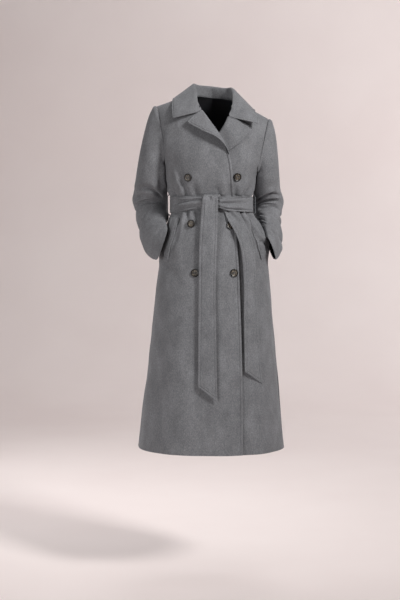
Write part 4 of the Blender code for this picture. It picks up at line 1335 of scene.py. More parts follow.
@dataclass
class Collar(Cut):
    """The collar: its stand on the neckline and its fall over the shoulders, in one strip.

    Attributes:
        area: area of its cut, in square metres; not used.
        right: its sections from the middle of the back to its right front end.
        left: the same to its left one.
        right_lapel: the lapel that its right end is sewn to.
        left_lapel: the one at its left end.
        slope_share: how much more it clears the slope of the shoulders than level ground.
        gorge: how far out along the lapel its seam goes, to the notch.
        gorge_gap: the gap between it and the lapel.
        end_bow: how far its free front end bows forwards.
        pull_start: share of its length from which it is led to the lapel.
        stand_width: width of the stand, which is not stitched.
    """

    area: float
    right: Table
    left: Table
    right_lapel: Lapel
    left_lapel: Lapel
    sections: int = 92
    leaf_columns: int = 30
    roll_radius: float = 0.0055
    full_stand: float = 0.026
    low_roll_less: float = 0.0010
    front_end_lift: float = 0.0006
    clearance: float = 0.0022
    slope_share: float = 1.25
    stand_clearance: float = 0.0010
    edge_cloth: float = 0.0046
    corner: float = 0.0060
    gorge: float = 0.019
    gorge_gap: float = 0.0011
    gorge_start: float = 0.004
    end_bow: float = 0.004
    pull_start: float = 0.70
    stand_width: float = 0.03
    end_sections: tuple[float, ...] = (0.976, 0.982, 0.9875, 0.992, 0.9955, 0.9982, 1.0)

    def clear_of_yoke(self, points: np.ndarray, clearance: float) -> np.ndarray:
        """Move points that lie nearer to the shoulders than a clearance away from them.

        Args:
            points: the points.
            clearance: the least distance, in metres.

        Returns:
            The moved points.
        """
        x, y, z = points[..., 0], points[..., 1], points[..., 2]
        over = z - ARMPIT
        share = np.clip(np.abs(x) / FORM.half_width(x, z), 0, 0.999)
        depth = FORM.depth_at(y, z) * (1 - share**FORM.roundness) ** (1 / FORM.roundness)
        rise = over / (FORM.shoulder_line(x) - ARMPIT)
        reach = (np.abs(y / depth) ** FORM.crown + np.abs(rise) ** FORM.crown) ** (1 / FORM.crown)
        least = 1 + self.slope_share * clearance / np.hypot(y, over)
        scale = np.maximum(least / reach, 1.0)
        moved = points.copy()
        moved[..., 1] = y * scale
        moved[..., 2] = ARMPIT + over * scale
        return moved

    def section(self, side: Side, table: Table, share: float) -> np.ndarray:
        """Face points across the collar, from its seam over the roll to its outer edge.

        Args:
            side: which half of the collar.
            table: that half's sections.
            share: the section's place, 0 at the middle of the back and 1 at the front end.

        Returns:
            The line's points, evenly spaced.
        """
        face = Face.BACK if share < 0.5 else Face.FRONT
        flip = (side.value, 1, 1)
        lean, edge, seam = (np.array([table.at(share, name) for name in names.split()]) for names
                            in ("lean_x lean_y stand", "edge_x edge_y edge_z", "seam_x seam_z"))
        lean, edge = lean * flip, edge * flip
        low = 1 - min(1.0, float(np.linalg.norm(lean)) / self.full_stand)
        seam = FORM.on(side.value * seam[0], seam[1], face,
                       self.stand_clearance + self.front_end_lift * low)
        roll = seam + lean
        out = unit((edge - roll) * (1, 1, 0))
        reach = np.array([np.dot(edge - roll, out), edge[2] - roll[2]])
        last = math.atan2(reach[1], reach[0]) + math.pi / 2
        first = math.atan2(lean[2], np.dot(lean, out)) + math.pi / 2
        radius = self.roll_radius - self.low_roll_less * low
        up = np.array([0, 0, 1.0])
        hub = roll - radius * (math.cos(first) * out + math.sin(first) * up)
        bend = np.linspace(first, last, 14)
        arc = hub + radius * (np.cos(bend)[:, None] * out + np.sin(bend)[:, None] * up)
        leaf = arc[-1] + (edge - arc[-1]) * np.linspace(0, 1, 50)[1:, None]
        leaf = self.clear_of_yoke(leaf, CLOTH + self.clearance)
        stand = seam + (arc[0] - seam) * np.linspace(0, 1, 8)[:-1, None]
        line = np.concatenate([stand, arc, leaf])
        return eased(resampled(line, np.linspace(0, run_along(line)[-1], 120)), 14)

    def half(self, side: Side, table: Table, lapel: Lapel) -> tuple[np.ndarray, np.ndarray]:
        """Face points of one half of the collar, and their distances from its seam line.

        Args:
            side: which half.
            table: its sections.
            lapel: the lapel that its front end is sewn to.

        Returns:
            The points and the distances, sections x points.
        """
        shares = np.concatenate([np.linspace(0, 0.97, self.sections), self.end_sections])
        lines = [self.section(side, table, float(share)) for share in shares]
        lengths = np.array([run_along(line)[-1] for line in lines])
        steps = graded(SEAM_STEPS, EDGE_STEPS, lengths, self.leaf_columns * 2)
        grid = np.array([resampled(line, step) for line, step in zip(lines, steps)])
        # the front end is sewn to the lapel along the gorge, and turns off at the notch
        end, gone = grid[-1], steps[-1]
        on_gorge = gone - self.gorge_start
        gorge_line = lapel.gorge_line(self.gorge_gap)
        gorge, notch = resampled(gorge_line, on_gorge), resampled(gorge_line, [self.gorge])[0]
        rest = np.clip((on_gorge - self.gorge) / (on_gorge[-1] - self.gorge), 0, 1)[:, None]
        line = notch + (end[-1] - notch) * rest
        line[:, 1] -= self.end_bow * np.sin(rest[:, 0] * math.pi)
        target = eased(np.where((on_gorge < self.gorge)[:, None], gorge, line), 10)
        pull = (smooth((shares - self.pull_start) / (1 - self.pull_start)) ** 1.3)[:, None, None]
        lead = smooth((gone - 0.001) / 0.006)[None, :, None]
        grid = grid + (target - end)[None] * pull * lead
        return grid, steps

    def build(self) -> bpy.types.Object:
        """Make the collar's shell.

        Returns:
            The linked object, without its materials.
        """
        right, right_run = self.half(Side.RIGHT, self.right, self.right_lapel)
        left, left_run = self.half(Side.LEFT, self.left, self.left_lapel)
        grid = np.concatenate([right[::-1], left[1:]])
        run = np.concatenate([right_run[::-1], left_run[1:]])
        for _ in range(2):
            grid[1:-1, 1:-1] = grid[1:-1, 1:-1] / 2 + (grid[:-2, 1:-1] + grid[2:, 1:-1]) / 4
        normal = unit(np.cross(np.gradient(grid, axis=0), np.gradient(grid, axis=1)))
        normal = normal * np.sign(normal[grid.shape[0] // 2, -20, 1])
        edge_gap = run[:, -1:] - run
        start_gap, stop_gap = reach_from(grid, 0, 0), reach_from(grid, 0, -1)
        thick = CLOTH + (self.edge_cloth - CLOTH) * doubled(edge_gap)
        gap = np.minimum(edge_gap, np.minimum(start_gap, stop_gap))
        groove = stitch_groove(gap, *LAPEL_STITCHES) * smooth((run - self.stand_width) / 0.01)
        face, back = grid - normal * groove[..., None], grid - normal * thick[..., None]
        moved, gap_a = round_corner(face, start_gap, edge_gap, self.corner, 0, -1)
        moved, gap_b = round_corner(moved, stop_gap, edge_gap, self.corner, -1, -1)
        shift = moved - face
        face, back = face + shift, back + shift
        gap = np.minimum(np.minimum(gap_a, gap_b), run + 0.0008)
        face, back = closed_edge(face, back, gap)
        return shell_object(self.name, FORM.leaned(face), FORM.leaned(back))


@dataclass
class BeltBand(Cut):
    """The belt round the waist: a band that lies in folds where it goes into its knot."""

    folds: tuple[Fold, ...]
    around: int = 420
    knot_room: float = 0.0055
    room_right: float = -0.050
    room_left: float = 0.108
    room_fade: float = 0.016
    deepest: float = -0.0022
    edges: Table = field(default_factory=lambda: Table("x top bottom", """
        -240 -335 -389, -139 -335.5 -388.5, -100 -335 -385, -81 -335 -380.5, -34 -339 -375,
        0 -343 -373.5, 24 -345.5 -374.5, 46 -340 -381.5, 80 -336 -385, 128 -335 -386.5,
        240 -335 -389"""))

    def lift(self, x: np.ndarray, y: np.ndarray) -> np.ndarray:
        """How far its inner side stands off the form: more where the knot passes behind it.

        Args:
            x: places across, in metres.
            y: places from front to back, in metres.

        Returns:
            The distances, in metres.
        """
        room = (smooth((x - self.room_right) / self.room_fade)
                * smooth((self.room_left - x) / self.room_fade))
        return BELT_EASE + self.knot_room * np.where(y > 0, 0.0, room)

    def build(self) -> bpy.types.Object:
        """Make the band's closed ring.

        Returns:
            The linked object, without its materials.
        """
        turn = np.linspace(0, 2 * math.pi, self.around, endpoint=False)
        front = np.cos(turn) >= 0
        angle = np.arcsin(np.sin(turn))
        level = np.full(turn.shape, WAIST - ARMPIT)
        x = np.where(front, *(FORM.point(angle, level, face)[:, 0] for face in Face))
        share = across_steps(np.array([BELT_WIDTH]), 44)[0] / BELT_WIDTH
        top = np.where(front, self.edges.at(x, "top"), WAIST + BELT_WIDTH / 2)
        bottom = np.where(front, self.edges.at(x, "bottom"), WAIST - BELT_WIDTH / 2)
        z = bottom + (top - bottom) * share[:, None]
        angles = np.broadcast_to(angle, z.shape)
        points, out = (np.where(front[None, :, None],
                                *(read(angles, z - ARMPIT, face) for face in Face))
                       for read in (FORM.point, FORM.normal))
        way = unit(out * (1, 1, 0))
        lift = self.lift(points[..., 0], points[..., 1])
        around = np.where(front, x, np.sign(x) * (0.45 - np.abs(x)))
        shown = np.broadcast_to(around, z.shape)
        ridges = fold_lift(self.folds, shown, z) + 0.0005 * ripple(shown, z * 0.4, 0.07, 9.0)
        ridges = np.maximum(ridges, self.deepest)
        gap = np.minimum(share, 1 - share)[:, None] * (top - bottom)
        groove = stitch_groove(gap, *BELT_STITCHES)
        face = points + way * (lift + BELT_CLOTH + ridges - groove)[..., None]
        back = points + way * (lift + INNER_SHARE * np.maximum(ridges, 0))[..., None]
        face, back = closed_edge(face, back, gap)
        return shell_object(self.name, face, back, ring=True)


@dataclass
class Strip(Cut):
    """A flat strip between two edges over the front, such as a belt end or a welt.

    Attributes:
        edges: x and z of its two edges, and for a belt end how far its underside is off the coat
            and its crown.
        folds: folds along it, in places (x, z).
        thickness: its cloth, turned in and stitched.
        stitches: how far from its edges it is stitched.
        bunching: above 1, more rows lie near its top.
        over_top: how much of it goes over the belt's upper edge.
        tuck_depth: how far it goes in behind that edge.
        tuck_rise: how far it rises on its way.
        carrier: the folds of the front that it lies on.
    """

    edges: Table
    folds: tuple[Fold, ...]
    thickness: float = BELT_CLOTH
    pitch: float = 0.0032
    columns: int = 30
    bunching: float = 1.4
    corner: float = 0.0022
    stitches: float = 0.0078
    stitch_depth: float = 0.0018
    smoothing: int = 40
    over_top: float = 0.0
    tuck_depth: float = 0.0125
    tuck_rise: float = 0.004
    top_corner: float = 0.0
    flutter: float = 0.0006
    carrier: tuple[Fold, ...] = ()
    lift_extra: float = 0.0

    def build(self) -> bpy.types.Object:
        """Make the strip's shell.

        Returns:
            The linked object, without its materials.
        """
        fine = np.linspace(0, 1, 200) ** self.bunching
        ax, az, bx, bz = (self.edges.at(fine, name) for name in self.edges.names[1:5])
        run = run_along(np.stack([(ax + bx) / 2, (az + bz) / 2], -1))
        rows = graded(EDGE_STEPS, EDGE_STEPS, run[-1:], int(run[-1] / self.pitch))[0][:, None]
        along = np.interp(rows, run, fine)
        ax, az, bx, bz = (self.edges.at(along, name) for name in self.edges.names[1:5])
        width = np.hypot(bx - ax, bz - az)
        share = across_steps(width[:, 0], self.columns) / width
        x, z = ax + (bx - ax) * share, az + (bz - az) * share
        lift = self.lift_extra + fold_lift(self.carrier, x, z)
        if "crown" in self.edges.names:
            lift += (self.edges.at(along, "lift")
                     + self.edges.at(along, "crown") * np.sin(share * math.pi))
        near, far = (np.broadcast_to(gap, x.shape) for gap in (rows, rows[-1] - rows))
        one_side, other_side = share * width, (1 - share) * width
        gap = np.minimum(one_side, other_side)
        flutter = self.flutter * ripple(x * 0.5, z, 0.12, 5.0) * smooth(rows / 0.08)
        under = lift + fold_lift(self.folds, x, z) + flutter
        groove = stitch_groove(gap, self.stitches, 0.0017, self.stitch_depth)
        end_groove = stitch_groove(far, self.stitches, 0.0013, self.stitch_depth)
        groove = np.maximum(groove, end_groove * (gap > self.stitches))
        spine = FORM.on(x, z, Face.FRONT, 0.0)
        spine[..., 1] = eased(spine[..., 1], self.smoothing)
        outwards = FORM.out(x, z, Face.FRONT)
        way = unit(outwards * (1, 1, 0))
        face = spine + way * (under + self.thickness - groove)[..., None]
        back = spine + way * under[..., None]
        if self.over_top:
            curl = smooth(1 - rows / self.over_top)
            sweep = outwards * (-self.tuck_depth * curl**2)[..., None]
            sweep[..., 2] += self.tuck_rise * np.sin(curl * math.pi / 2)
            face, back = face + sweep, back + sweep
        corners = [(far, one_side, self.corner, -1, 0), (far, other_side, self.corner, -1, -1)]
        if self.top_corner:
            corners.append((near, one_side, self.top_corner, 0, 0))
        gap = near
        for corner in corners:
            face, corner_gap = round_corner(face, *corner)
            back, _ = round_corner(back, *corner)
            gap = np.minimum(gap, corner_gap)
        face, back = closed_edge(face, back, gap)
        if not self.over_top:
            face, back = FORM.leaned(face), FORM.leaned(back)
        return shell_object(self.name, face, back)


@dataclass
class Knot(Cut):
    """The wrap of the belt's knot: a ring of cloth that goes round the band, top to bottom."""

    right_x: float = -0.0270
    left_x: float = 0.0255
    low_share: float = 0.76
    squareness: float = 0.5
    cloth: float = 0.0032
    margin: float = 0.0020
    around: int = 120

    def build(self, band: BeltBand) -> bpy.types.Object:
        """Make the wrap round a band.

        Args:
            band: the band that it goes round.

        Returns:
            The linked object, without its materials.
        """
        middle = BELT_EASE + band.knot_room + BELT_CLOTH / 2
        turn = np.linspace(0, 2 * math.pi, self.around, endpoint=False)
        steps = across_steps(np.array([self.left_x - self.right_x]), 14)[0][:, None]
        # its left end stands out only where it goes over the band's upper edge
        upper = smooth((np.sin(turn) - 0.35) / 0.45)
        x = self.right_x + steps * (1 - (1 - self.low_share) * (1 - upper))
        layers = []
        for extra in (self.cloth, 0.0):
            reach = self.margin + extra
            out = (BELT_CLOTH / 2 + reach) * signed_power(np.cos(turn), self.squareness)
            points = FORM.on(x, np.full(x.shape, WAIST), Face.FRONT, middle + out)
            points[..., 2] = WAIST + (BELT_WIDTH / 2 + reach) * signed_power(
                np.sin(turn), self.squareness)
            layers.append(points)
        gap = np.minimum(steps, steps[-1] - steps) + 0 * turn
        return shell_object(self.name, *closed_edge(*layers, gap), ring=True)


@dataclass
class ThreadLoop:
    """A belt loop of twisted thread at a side seam, from above the belt to below it."""

    name: str
    node: str
    side: Side
    radius: float = 0.0018
    stand_off: float = 0.0072
    overhang: float = 0.010
    bend: float = 0.30
    strands: int = 2
    twists: float = 11.0

    def build(self) -> bpy.types.Object:
        """Make the loop's strands.

        Returns:
            The linked object, without its materials.
        """
        span = BELT_WIDTH / 2 + self.overhang
        steps = np.linspace(-1, 1, 180)
        z = WAIST + span * steps
        base = FORM.half_width(self.side.value, z) + self.radius + 2 * SEAM
        top = FORM.half_width(self.side.value, WAIST) + BELT_EASE + BELT_CLOTH + self.stand_off
        x = self.side.value * (base + (top - base) * smooth((1 - np.abs(steps)) / self.bend))
        line = FORM.leaned(np.stack([x, 0 * x, z], -1))
        strands = []
        for k in range(self.strands):
            turn = 2 * math.pi * (self.twists * (steps + 1) / 2 + k / self.strands)
            aside = np.stack([np.cos(turn), np.sin(turn), 0 * turn], -1) * self.radius * 0.5
            strands.append(tube_object(f"{self.name}_{k}", line + aside, self.radius * 0.58, 7))
        return merged(self.name, strands)


@dataclass
class Button:
    """A dished horn button with four holes and its thread, sewn flat on its front."""

    name: str
    node: str
    x: float
    z: float
    spin: float
    radius: float = 0.0135
    thickness: float = 0.0042
    hole_radius: float = 0.00125
    hole_reach: float = 0.0027
    dish: float = 0.755
    sides: int = 72
    hole_sides: int = 16
    ease: float = 0.0001
    thread_gap: float = 0.00035
    thread_radius: float = 0.0004

    def profile(self) -> list[tuple[float, float]]:
        """Radius and height of its turned section, from its back round to its dished middle.

        Returns:
            A radius and a height for each ring, in metres.
        """
        shares = ((0.76, 0.0), (0.90, 0.04), (0.965, 0.17), (0.995, 0.36), (1.0, 0.52),
                  (0.995, 0.70), (0.975, 0.86), (0.94, 0.965), (0.895, 1.0), (0.85, 0.985),
                  (0.80, 0.93), (0.745, 0.845), (0.69, 0.785), (0.62, 0.765), (0.50, self.dish))
        return [(self.radius * out, self.thickness * up) for out, up in shares]

    def place(self, lift: Callable[[np.ndarray, np.ndarray], np.ndarray]) -> Matrix:
        """Where the button lies on a front whose lift is given.

        Args:
            lift: how far the front lies off the form at places x and z.

        Returns:
            The matrix that takes the button there.
        """
        turns = np.arange(8) * math.pi / 4
        dx = np.append(self.radius * np.cos(turns), 0.0)
        dz = np.append(self.radius * np.sin(turns), 0.0)
        x, z = self.x + dx, self.z + dz
        spots = FORM.leaned(FORM.on(x, z, Face.FRONT, lift(x, z)))
        across, up = unit(spots[0] - spots[4]), spots[2] - spots[6]
        facing = unit(np.cross(across, up))
        up = np.cross(facing, across)
        highest = float(np.max((spots - spots[-1]) @ facing))
        place = spots[-1] + facing * (highest + self.ease)
        turn = Matrix((across, up, facing)).transposed().to_4x4()
        return Matrix.Translation(place) @ turn @ Matrix.Rotation(self.spin, 4, "Z")

    def ring(self, made: bmesh.types.BMesh, centre: tuple[float, float], radius: float,
             height: float, sides: int) -> list[bmesh.types.BMVert]:
        """Add a ring of points.

        Args:
            made: what it is added to.
            centre: its centre.
            radius: its radius.
            height: its height.
            sides: how many points it has.

        Returns:
            The points.
        """
        turns = 2 * math.pi * np.arange(sides) / sides
        return [made.verts.new((centre[0] + radius * math.cos(t), centre[1] + radius * math.sin(t),
                                height)) for t in turns]

    def fill(self, made: bmesh.types.BMesh, rim: list[bmesh.types.BMVert],
             holes: list[list[bmesh.types.BMVert]], way: int) -> None:
        """Fill a ring but for its holes.

        Args:
            made: what holds them.
            rim: the ring.
            holes: the rings of its holes.
            way: 1 to face up, -1 to face down.
        """
        around = set(rim)
        edges = [e for e in made.edges if e.verts[0] in around and e.verts[1] in around]
        for hole in holes:
            for a, b in zip(hole, hole[1:] + hole[:1]):
                edges.append(made.edges.get((a, b)) or made.edges.new((a, b)))
        bmesh.ops.triangle_fill(made, use_beauty=True, edges=edges, normal=(0, 0, way))
        inside = [f for f in made.faces
                  if len(f.verts) == 3 and any(set(f.verts) <= set(hole) for hole in holes)]
        bmesh.ops.delete(made, geom=inside, context="FACES_ONLY")

    def disc(self) -> bmesh.types.BMesh:
        """The turned button with its four holes, in its own frame.

        Returns:
            The button's faces.
        """
        made = bmesh.new()
        rings = [self.ring(made, (0, 0), r, h, self.sides) for r, h in self.profile()]
        for low, high in zip(rings, rings[1:]):
            for k in range(self.sides):
                n = (k + 1) % self.sides
                made.faces.new((low[k], low[n], high[n], high[k]))
        turns = math.pi / 4 + np.arange(4) * math.pi / 2
        wells = [self.ring(made, (self.hole_reach * math.cos(t), self.hole_reach * math.sin(t)),
                           self.hole_radius, self.thickness * self.dish, self.hole_sides)
                 for t in turns]
        self.fill(made, rings[-1], wells, 1)
        under = []
        for ring in wells:
            low = [made.verts.new((v.co.x, v.co.y, 0.0)) for v in ring]
            for j in range(self.hole_sides):
                n = (j + 1) % self.hole_sides
                made.faces.new((ring[j], low[j], low[n], ring[n]))
            under.append(low)
        self.fill(made, rings[0], under, -1)
        bmesh.ops.recalc_face_normals(made, faces=made.faces[:])
        return made

    def build(self, lift: Callable[[np.ndarray, np.ndarray],
                                   np.ndarray]) -> list[bpy.types.Object]:
        """Make the button and the thread that crosses between its holes.

        Args:
            lift: how far the front lies off the form at places x and z.

        Returns:
            The button and its thread.
        """
        place = self.place(lift)
        button = placed(self.name, self.disc())
        mesh = button.data
        mesh.transform(place)
        mesh.set_sharp_from_angle(angle=math.radians(50))
        mesh.materials.append(None)
        mesh.materials.append(None)
        centre = np.array(place.translation)
        for polygon in mesh.polygons:
            if np.linalg.norm(np.array(polygon.center) - centre) > self.radius * 0.72:
                polygon.material_index = 1
        turns = np.arange(4) * math.pi / 2 + math.pi / 4
        hole = self.hole_reach * np.stack([np.cos(turns), np.sin(turns)], -1)
        rise = self.thickness * np.array([0.15, 0.70, 0.86, 0.90, 0.86, 0.70, 0.15])
        part = np.array([0, 0.02, 0.2, 0.5, 0.8, 0.98, 1])[:, None]
        threads = []
        for a, b in ((0, 1), (2, 3)):
            for aside in (-self.thread_gap, self.thread_gap):
                way = unit(hole[b] - hole[a])
                flat = hole[a] + (hole[b] - hole[a]) * part + (-way[1] * aside, way[0] * aside)
                line = smooth_line(np.column_stack([flat, rise]), 4)
                threads.append(tube_object(self.name, line, self.thread_radius, 6))
        thread = merged(f"{self.name}_thread", threads)
        thread.data.transform(place)
        return [button, thread]


def linear(code: str) -> tuple[float, float, float, float]:
    """A "#rrggbb" sRGB colour as linear red, green, blue and alpha."""
    parts = [int(code[k:k + 2], 16) / 255 for k in (1, 3, 5)]
    return (*(c / 12.92 if c <= 0.04045 else ((c + 0.055) / 1.055) ** 2.4 for c in parts), 1.0)


def connect(tree: bpy.types.NodeTree, node: bpy.types.Node,
            inputs: dict[str | int, object]) -> None:
    """Set a node's inputs.

    Args:
        tree: the material's tree.
        node: the node.
        inputs: a value for each input, or an output socket to link to it.
    """
    for key, value in inputs.items():
        if isinstance(value, bpy.types.NodeSocket):
            tree.links.new(value, node.inputs[key])
        else:
            node.inputs[key].default_value = value


def add_node(tree: bpy.types.NodeTree, kind: str, inputs: dict[str | int, object],
             stops: Sequence[tuple[float, str]] = (), **settings: object) -> bpy.types.Node:
    """Add one node with its settings, values and links.

    Args:
        tree: the material's tree.
        kind: the node's type.
        inputs: a value for each input, or an output socket to link to it.
        stops: a place and a "#rrggbb" colour for each stop of a colour ramp.
        settings: the node's own properties.

    Returns:
        The new node.
    """
    node = tree.nodes.new(kind)
    for name, value in settings.items():
        setattr(node, name, value)
    connect(tree, node, inputs)
    for number, (place, code) in enumerate(stops):
        band = node.color_ramp.elements
        stop = band[number] if number < len(band) else band.new(place)
        stop.position, stop.color = place, linear(code)
    return node


def blank(name: str) -> tuple[bpy.types.Material, bpy.types.NodeTree, bpy.types.Node,
                              bpy.types.NodeSocket]:
    """A new material with its tree, its Principled shader and the place on the object.

    Args:
        name: the material's name.

    Returns:
        The material, its tree, its shader and the place's socket.
    """
    material = bpy.data.materials.new(name)
    material.use_nodes = True
    tree = material.node_tree
    place = add_node(tree, "ShaderNodeTexCoord", {}).outputs["Object"]
    return material, tree, tree.nodes["Principled BSDF"], place


@dataclass(frozen=True)
class BrushedWool:
    """Wool coating, woven, milled and brushed.

    The raised nap is matt, with a soft light rim where it is seen edge on. Fibres of several greys
    give it a melange of fine specks and slow patches, drawn out a little down the coat, the way it
    was brushed. Single fibres are about 0.03 mm, so the specks are the 1.5 to 4 mm tufts they mat
    into, drawn as coarse as they need to show.
    """

    name: str = "brushed_wool_coating"
    dark: str = "#5a5b5e"
    middle: str = "#6c6d70"
    light: str = "#818286"
    tuft_mm: float = 2.6
    fleck_mm: float = 0.9
    cloud_mm: float = 38.0
    warp_mm: float = 9.0
    shift_mm: float = 2.5
    draw_out: float = 0.55
    nap_depth_mm: float = 0.35

    def build(self) -> bpy.types.Material:
        """Make the material.

        Returns:
            The material.
        """
        material, tree, shader, place = blank(self.name)
        drawn = add_node(tree, "ShaderNodeMapping", {
            "Vector": place, "Scale": (1, 1, self.draw_out)}).outputs["Vector"]
        warp = add_node(tree, "ShaderNodeTexNoise", {
            "Vector": drawn, "Scale": 1 / (self.warp_mm * MM), "Detail": 2.0}).outputs["Color"]
        shifted = add_node(tree, "ShaderNodeVectorMath", {
            0: warp, 1: (self.shift_mm * MM,) * 3, 2: drawn}, operation="MULTIPLY_ADD")
        shifted = shifted.outputs["Vector"]
        tufts, flecks, clouds = (add_node(tree, "ShaderNodeTexNoise", {
            "Vector": where, "Scale": 1 / (size * MM), "Detail": detail,
            "Roughness": rough}).outputs["Fac"] for where, size, detail, rough in (
                (shifted, self.tuft_mm, 3.0, 0.62), (shifted, self.fleck_mm, 1.0, 0.5),
                (drawn, self.cloud_mm, 3.0, 0.55)))
        shade = 0.0
        for noise, weight in ((clouds, 0.42), (tufts, 0.78), (flecks, 0.30)):
            shade = add_node(tree, "ShaderNodeMath", {0: noise, 1: weight, 2: shade},
                             operation="MULTIPLY_ADD").outputs[0]
        colour = add_node(tree, "ShaderNodeValToRGB", {"Fac": shade}, (
            (0.55, self.dark), (0.75, self.middle), (0.95, self.light)))
        height = add_node(tree, "ShaderNodeMath", {0: flecks, 1: 0.4, 2: tufts},
                          operation="MULTIPLY_ADD").outputs[0]
        bump = add_node(tree, "ShaderNodeBump", {"Height": height, "Strength": 0.55,
                                                 "Distance": self.nap_depth_mm * MM})
        connect(tree, shader, {
            "Base Color": colour.outputs["Color"], "Normal": bump.outputs["Normal"],
            "Roughness": 0.95, "Specular IOR Level": 0.22, "Sheen Weight": 0.18,
            "Sheen Roughness": 0.55, "Sheen Tint": linear("#d6d9de")})
        return material


@dataclass(frozen=True)
class SatinLining:
    """Woven viscose satin lining: dark, with a soft broad gleam along its folds."""

    name: str = "dark_satin_lining"
    colour: str = "#1b1c20"
    slub: str = "#232429"
    thread_mm: float = 1.2

    def build(self) -> bpy.types.Material:
        """Make the material.

        Returns:
            The material.
        """
        material, tree, shader, place = blank(self.name)
        drawn = add_node(tree, "ShaderNodeMapping", {"Vector": place, "Scale": (1, 1, 0.08)})
        slubs = add_node(tree, "ShaderNodeTexNoise", {
            "Vector": drawn.outputs["Vector"], "Scale": 1 / (self.thread_mm * MM),
            "Detail": 2.0}).outputs["Fac"]
        colour = add_node(tree, "ShaderNodeValToRGB", {"Fac": slubs}, (
            (0.3, self.colour), (0.7, self.slub)))
        bump = add_node(tree, "ShaderNodeBump", {"Height": slubs, "Strength": 0.15,
                                                 "Distance": 0.1 * MM})
        connect(tree, shader, {
            "Base Color": colour.outputs["Color"], "Normal": bump.outputs["Normal"],
            "Roughness": 0.42, "Specular IOR Level": 0.45})
        return material


@dataclass(frozen=True)
class TurnedHorn:
    """Buffalo horn, turned and polished: near black and tan streaks under a clear gloss."""

    name: str = "polished_mottled_horn"
    dark: str = "#161311"
    brown: str = "#3d362e"
    tan: str = "#83796b"
    streak_mm: float = 4.1
    roughness: float = 0.46

    def build(self) -> bpy.types.Material:
        """Make the material.

        Returns:
            The material.
        """
        material, tree, shader, place = blank(self.name)
        drawn = add_node(tree, "ShaderNodeMapping", {
            "Vector": place, "Rotation": (0.4, 0.2, 0.9), "Scale": (1, 1, 0.45)}).outputs["Vector"]
        streaks = add_node(tree, "ShaderNodeTexNoise", {
            "Vector": drawn, "Scale": 1 / (self.streak_mm * MM), "Detail": 5.0, "Roughness": 0.55,
            "Distortion": 1.1}).outputs["Fac"]
        colour = add_node(tree, "ShaderNodeValToRGB", {"Fac": streaks}, (
            (0.36, self.dark), (0.50, self.brown), (0.66, self.tan)))
        connect(tree, shader, {
            "Base Color": colour.outputs["Color"], "Roughness": self.roughness,
            "Coat Weight": 0.04, "Coat Roughness": 0.2, "IOR": 1.54, "Specular IOR Level": 0.35})
        return material


@dataclass(frozen=True)
class SewingThread:
    """Spun polyester thread: matt, with the fine slanted ridges of its twist."""

    name: str
    light: str
    dark: str
    twist_mm: float = 0.9

    def build(self) -> bpy.types.Material:
        """Make the material.

        Returns:
            The material.
        """
        material, tree, shader, place = blank(self.name)
        ply = add_node(tree, "ShaderNodeTexNoise", {
            "Vector": place, "Scale": 1 / (self.twist_mm * MM), "Detail": 2.0}).outputs["Fac"]
        colour = add_node(tree, "ShaderNodeValToRGB", {"Fac": ply}, (
            (0.35, self.dark), (0.65, self.light)))
        connect(tree, shader, {"Base Color": colour.outputs["Color"], "Roughness": 0.8})
        return material


@dataclass(frozen=True)
class StudioPaper:
    """Seamless background paper: matt, pale and a little warm."""

    name: str = "matt_background_paper"
    colour: str = "#f4eae8"
    shade: str = "#f0e5e3"

    def build(self) -> bpy.types.Material:
        """Make the material.

        Returns:
            The material.
        """
        material, tree, shader, place = blank(self.name)
        tone = add_node(tree, "ShaderNodeTexNoise", {"Vector": place, "Scale": 1.4,
                                                     "Detail": 3.0}).outputs["Fac"]
        colour = add_node(tree, "ShaderNodeValToRGB", {"Fac": tone}, (
            (0.3, self.shade), (0.7, self.colour)))
        connect(tree, shader, {"Base Color": colour.outputs["Color"], "Roughness": 0.95,
                               "Specular IOR Level": 0.1})
        return material


# name, place, aim, size in metres, watts, colour and spread in degrees of each lamp
LAMPS = (
    ("key", (2.5, -2.4, 1.75), (0.0, 0.0, -0.1), 0.9, 24.8, "#fffdfb", 70.0),
    ("fill", (-2.8, -3.6, -0.9), (0.0, 0.0, -0.9), 2.2, 14.8, "#fffefd", 66.0),
    ("top", (0.5, -0.6, 3.2), (0.0, 0.0, 0.2), 2.0, 8.0, "#ffffff"),
    ("behind", (-1.6, 3.4, 1.6), (0.0, 0.0, -0.6), 2.0, 9.0, "#ffffff", 70.0),
    ("floor", (-3.2, 1.6, 0.6), (-0.8, 0.9, -1.6), 1.2, 5.0, "#ffffff", 60.0),
    ("wash", (4.2, 2.4, 0.2), (1.4, 5.4, -0.8), 1.8, 76.0, "#ffffff"),
    ("wall", (0.6, 2.6, 3.6), (0.6, 5.4, -0.4), 2.4, 60.0, "#ffffff"))


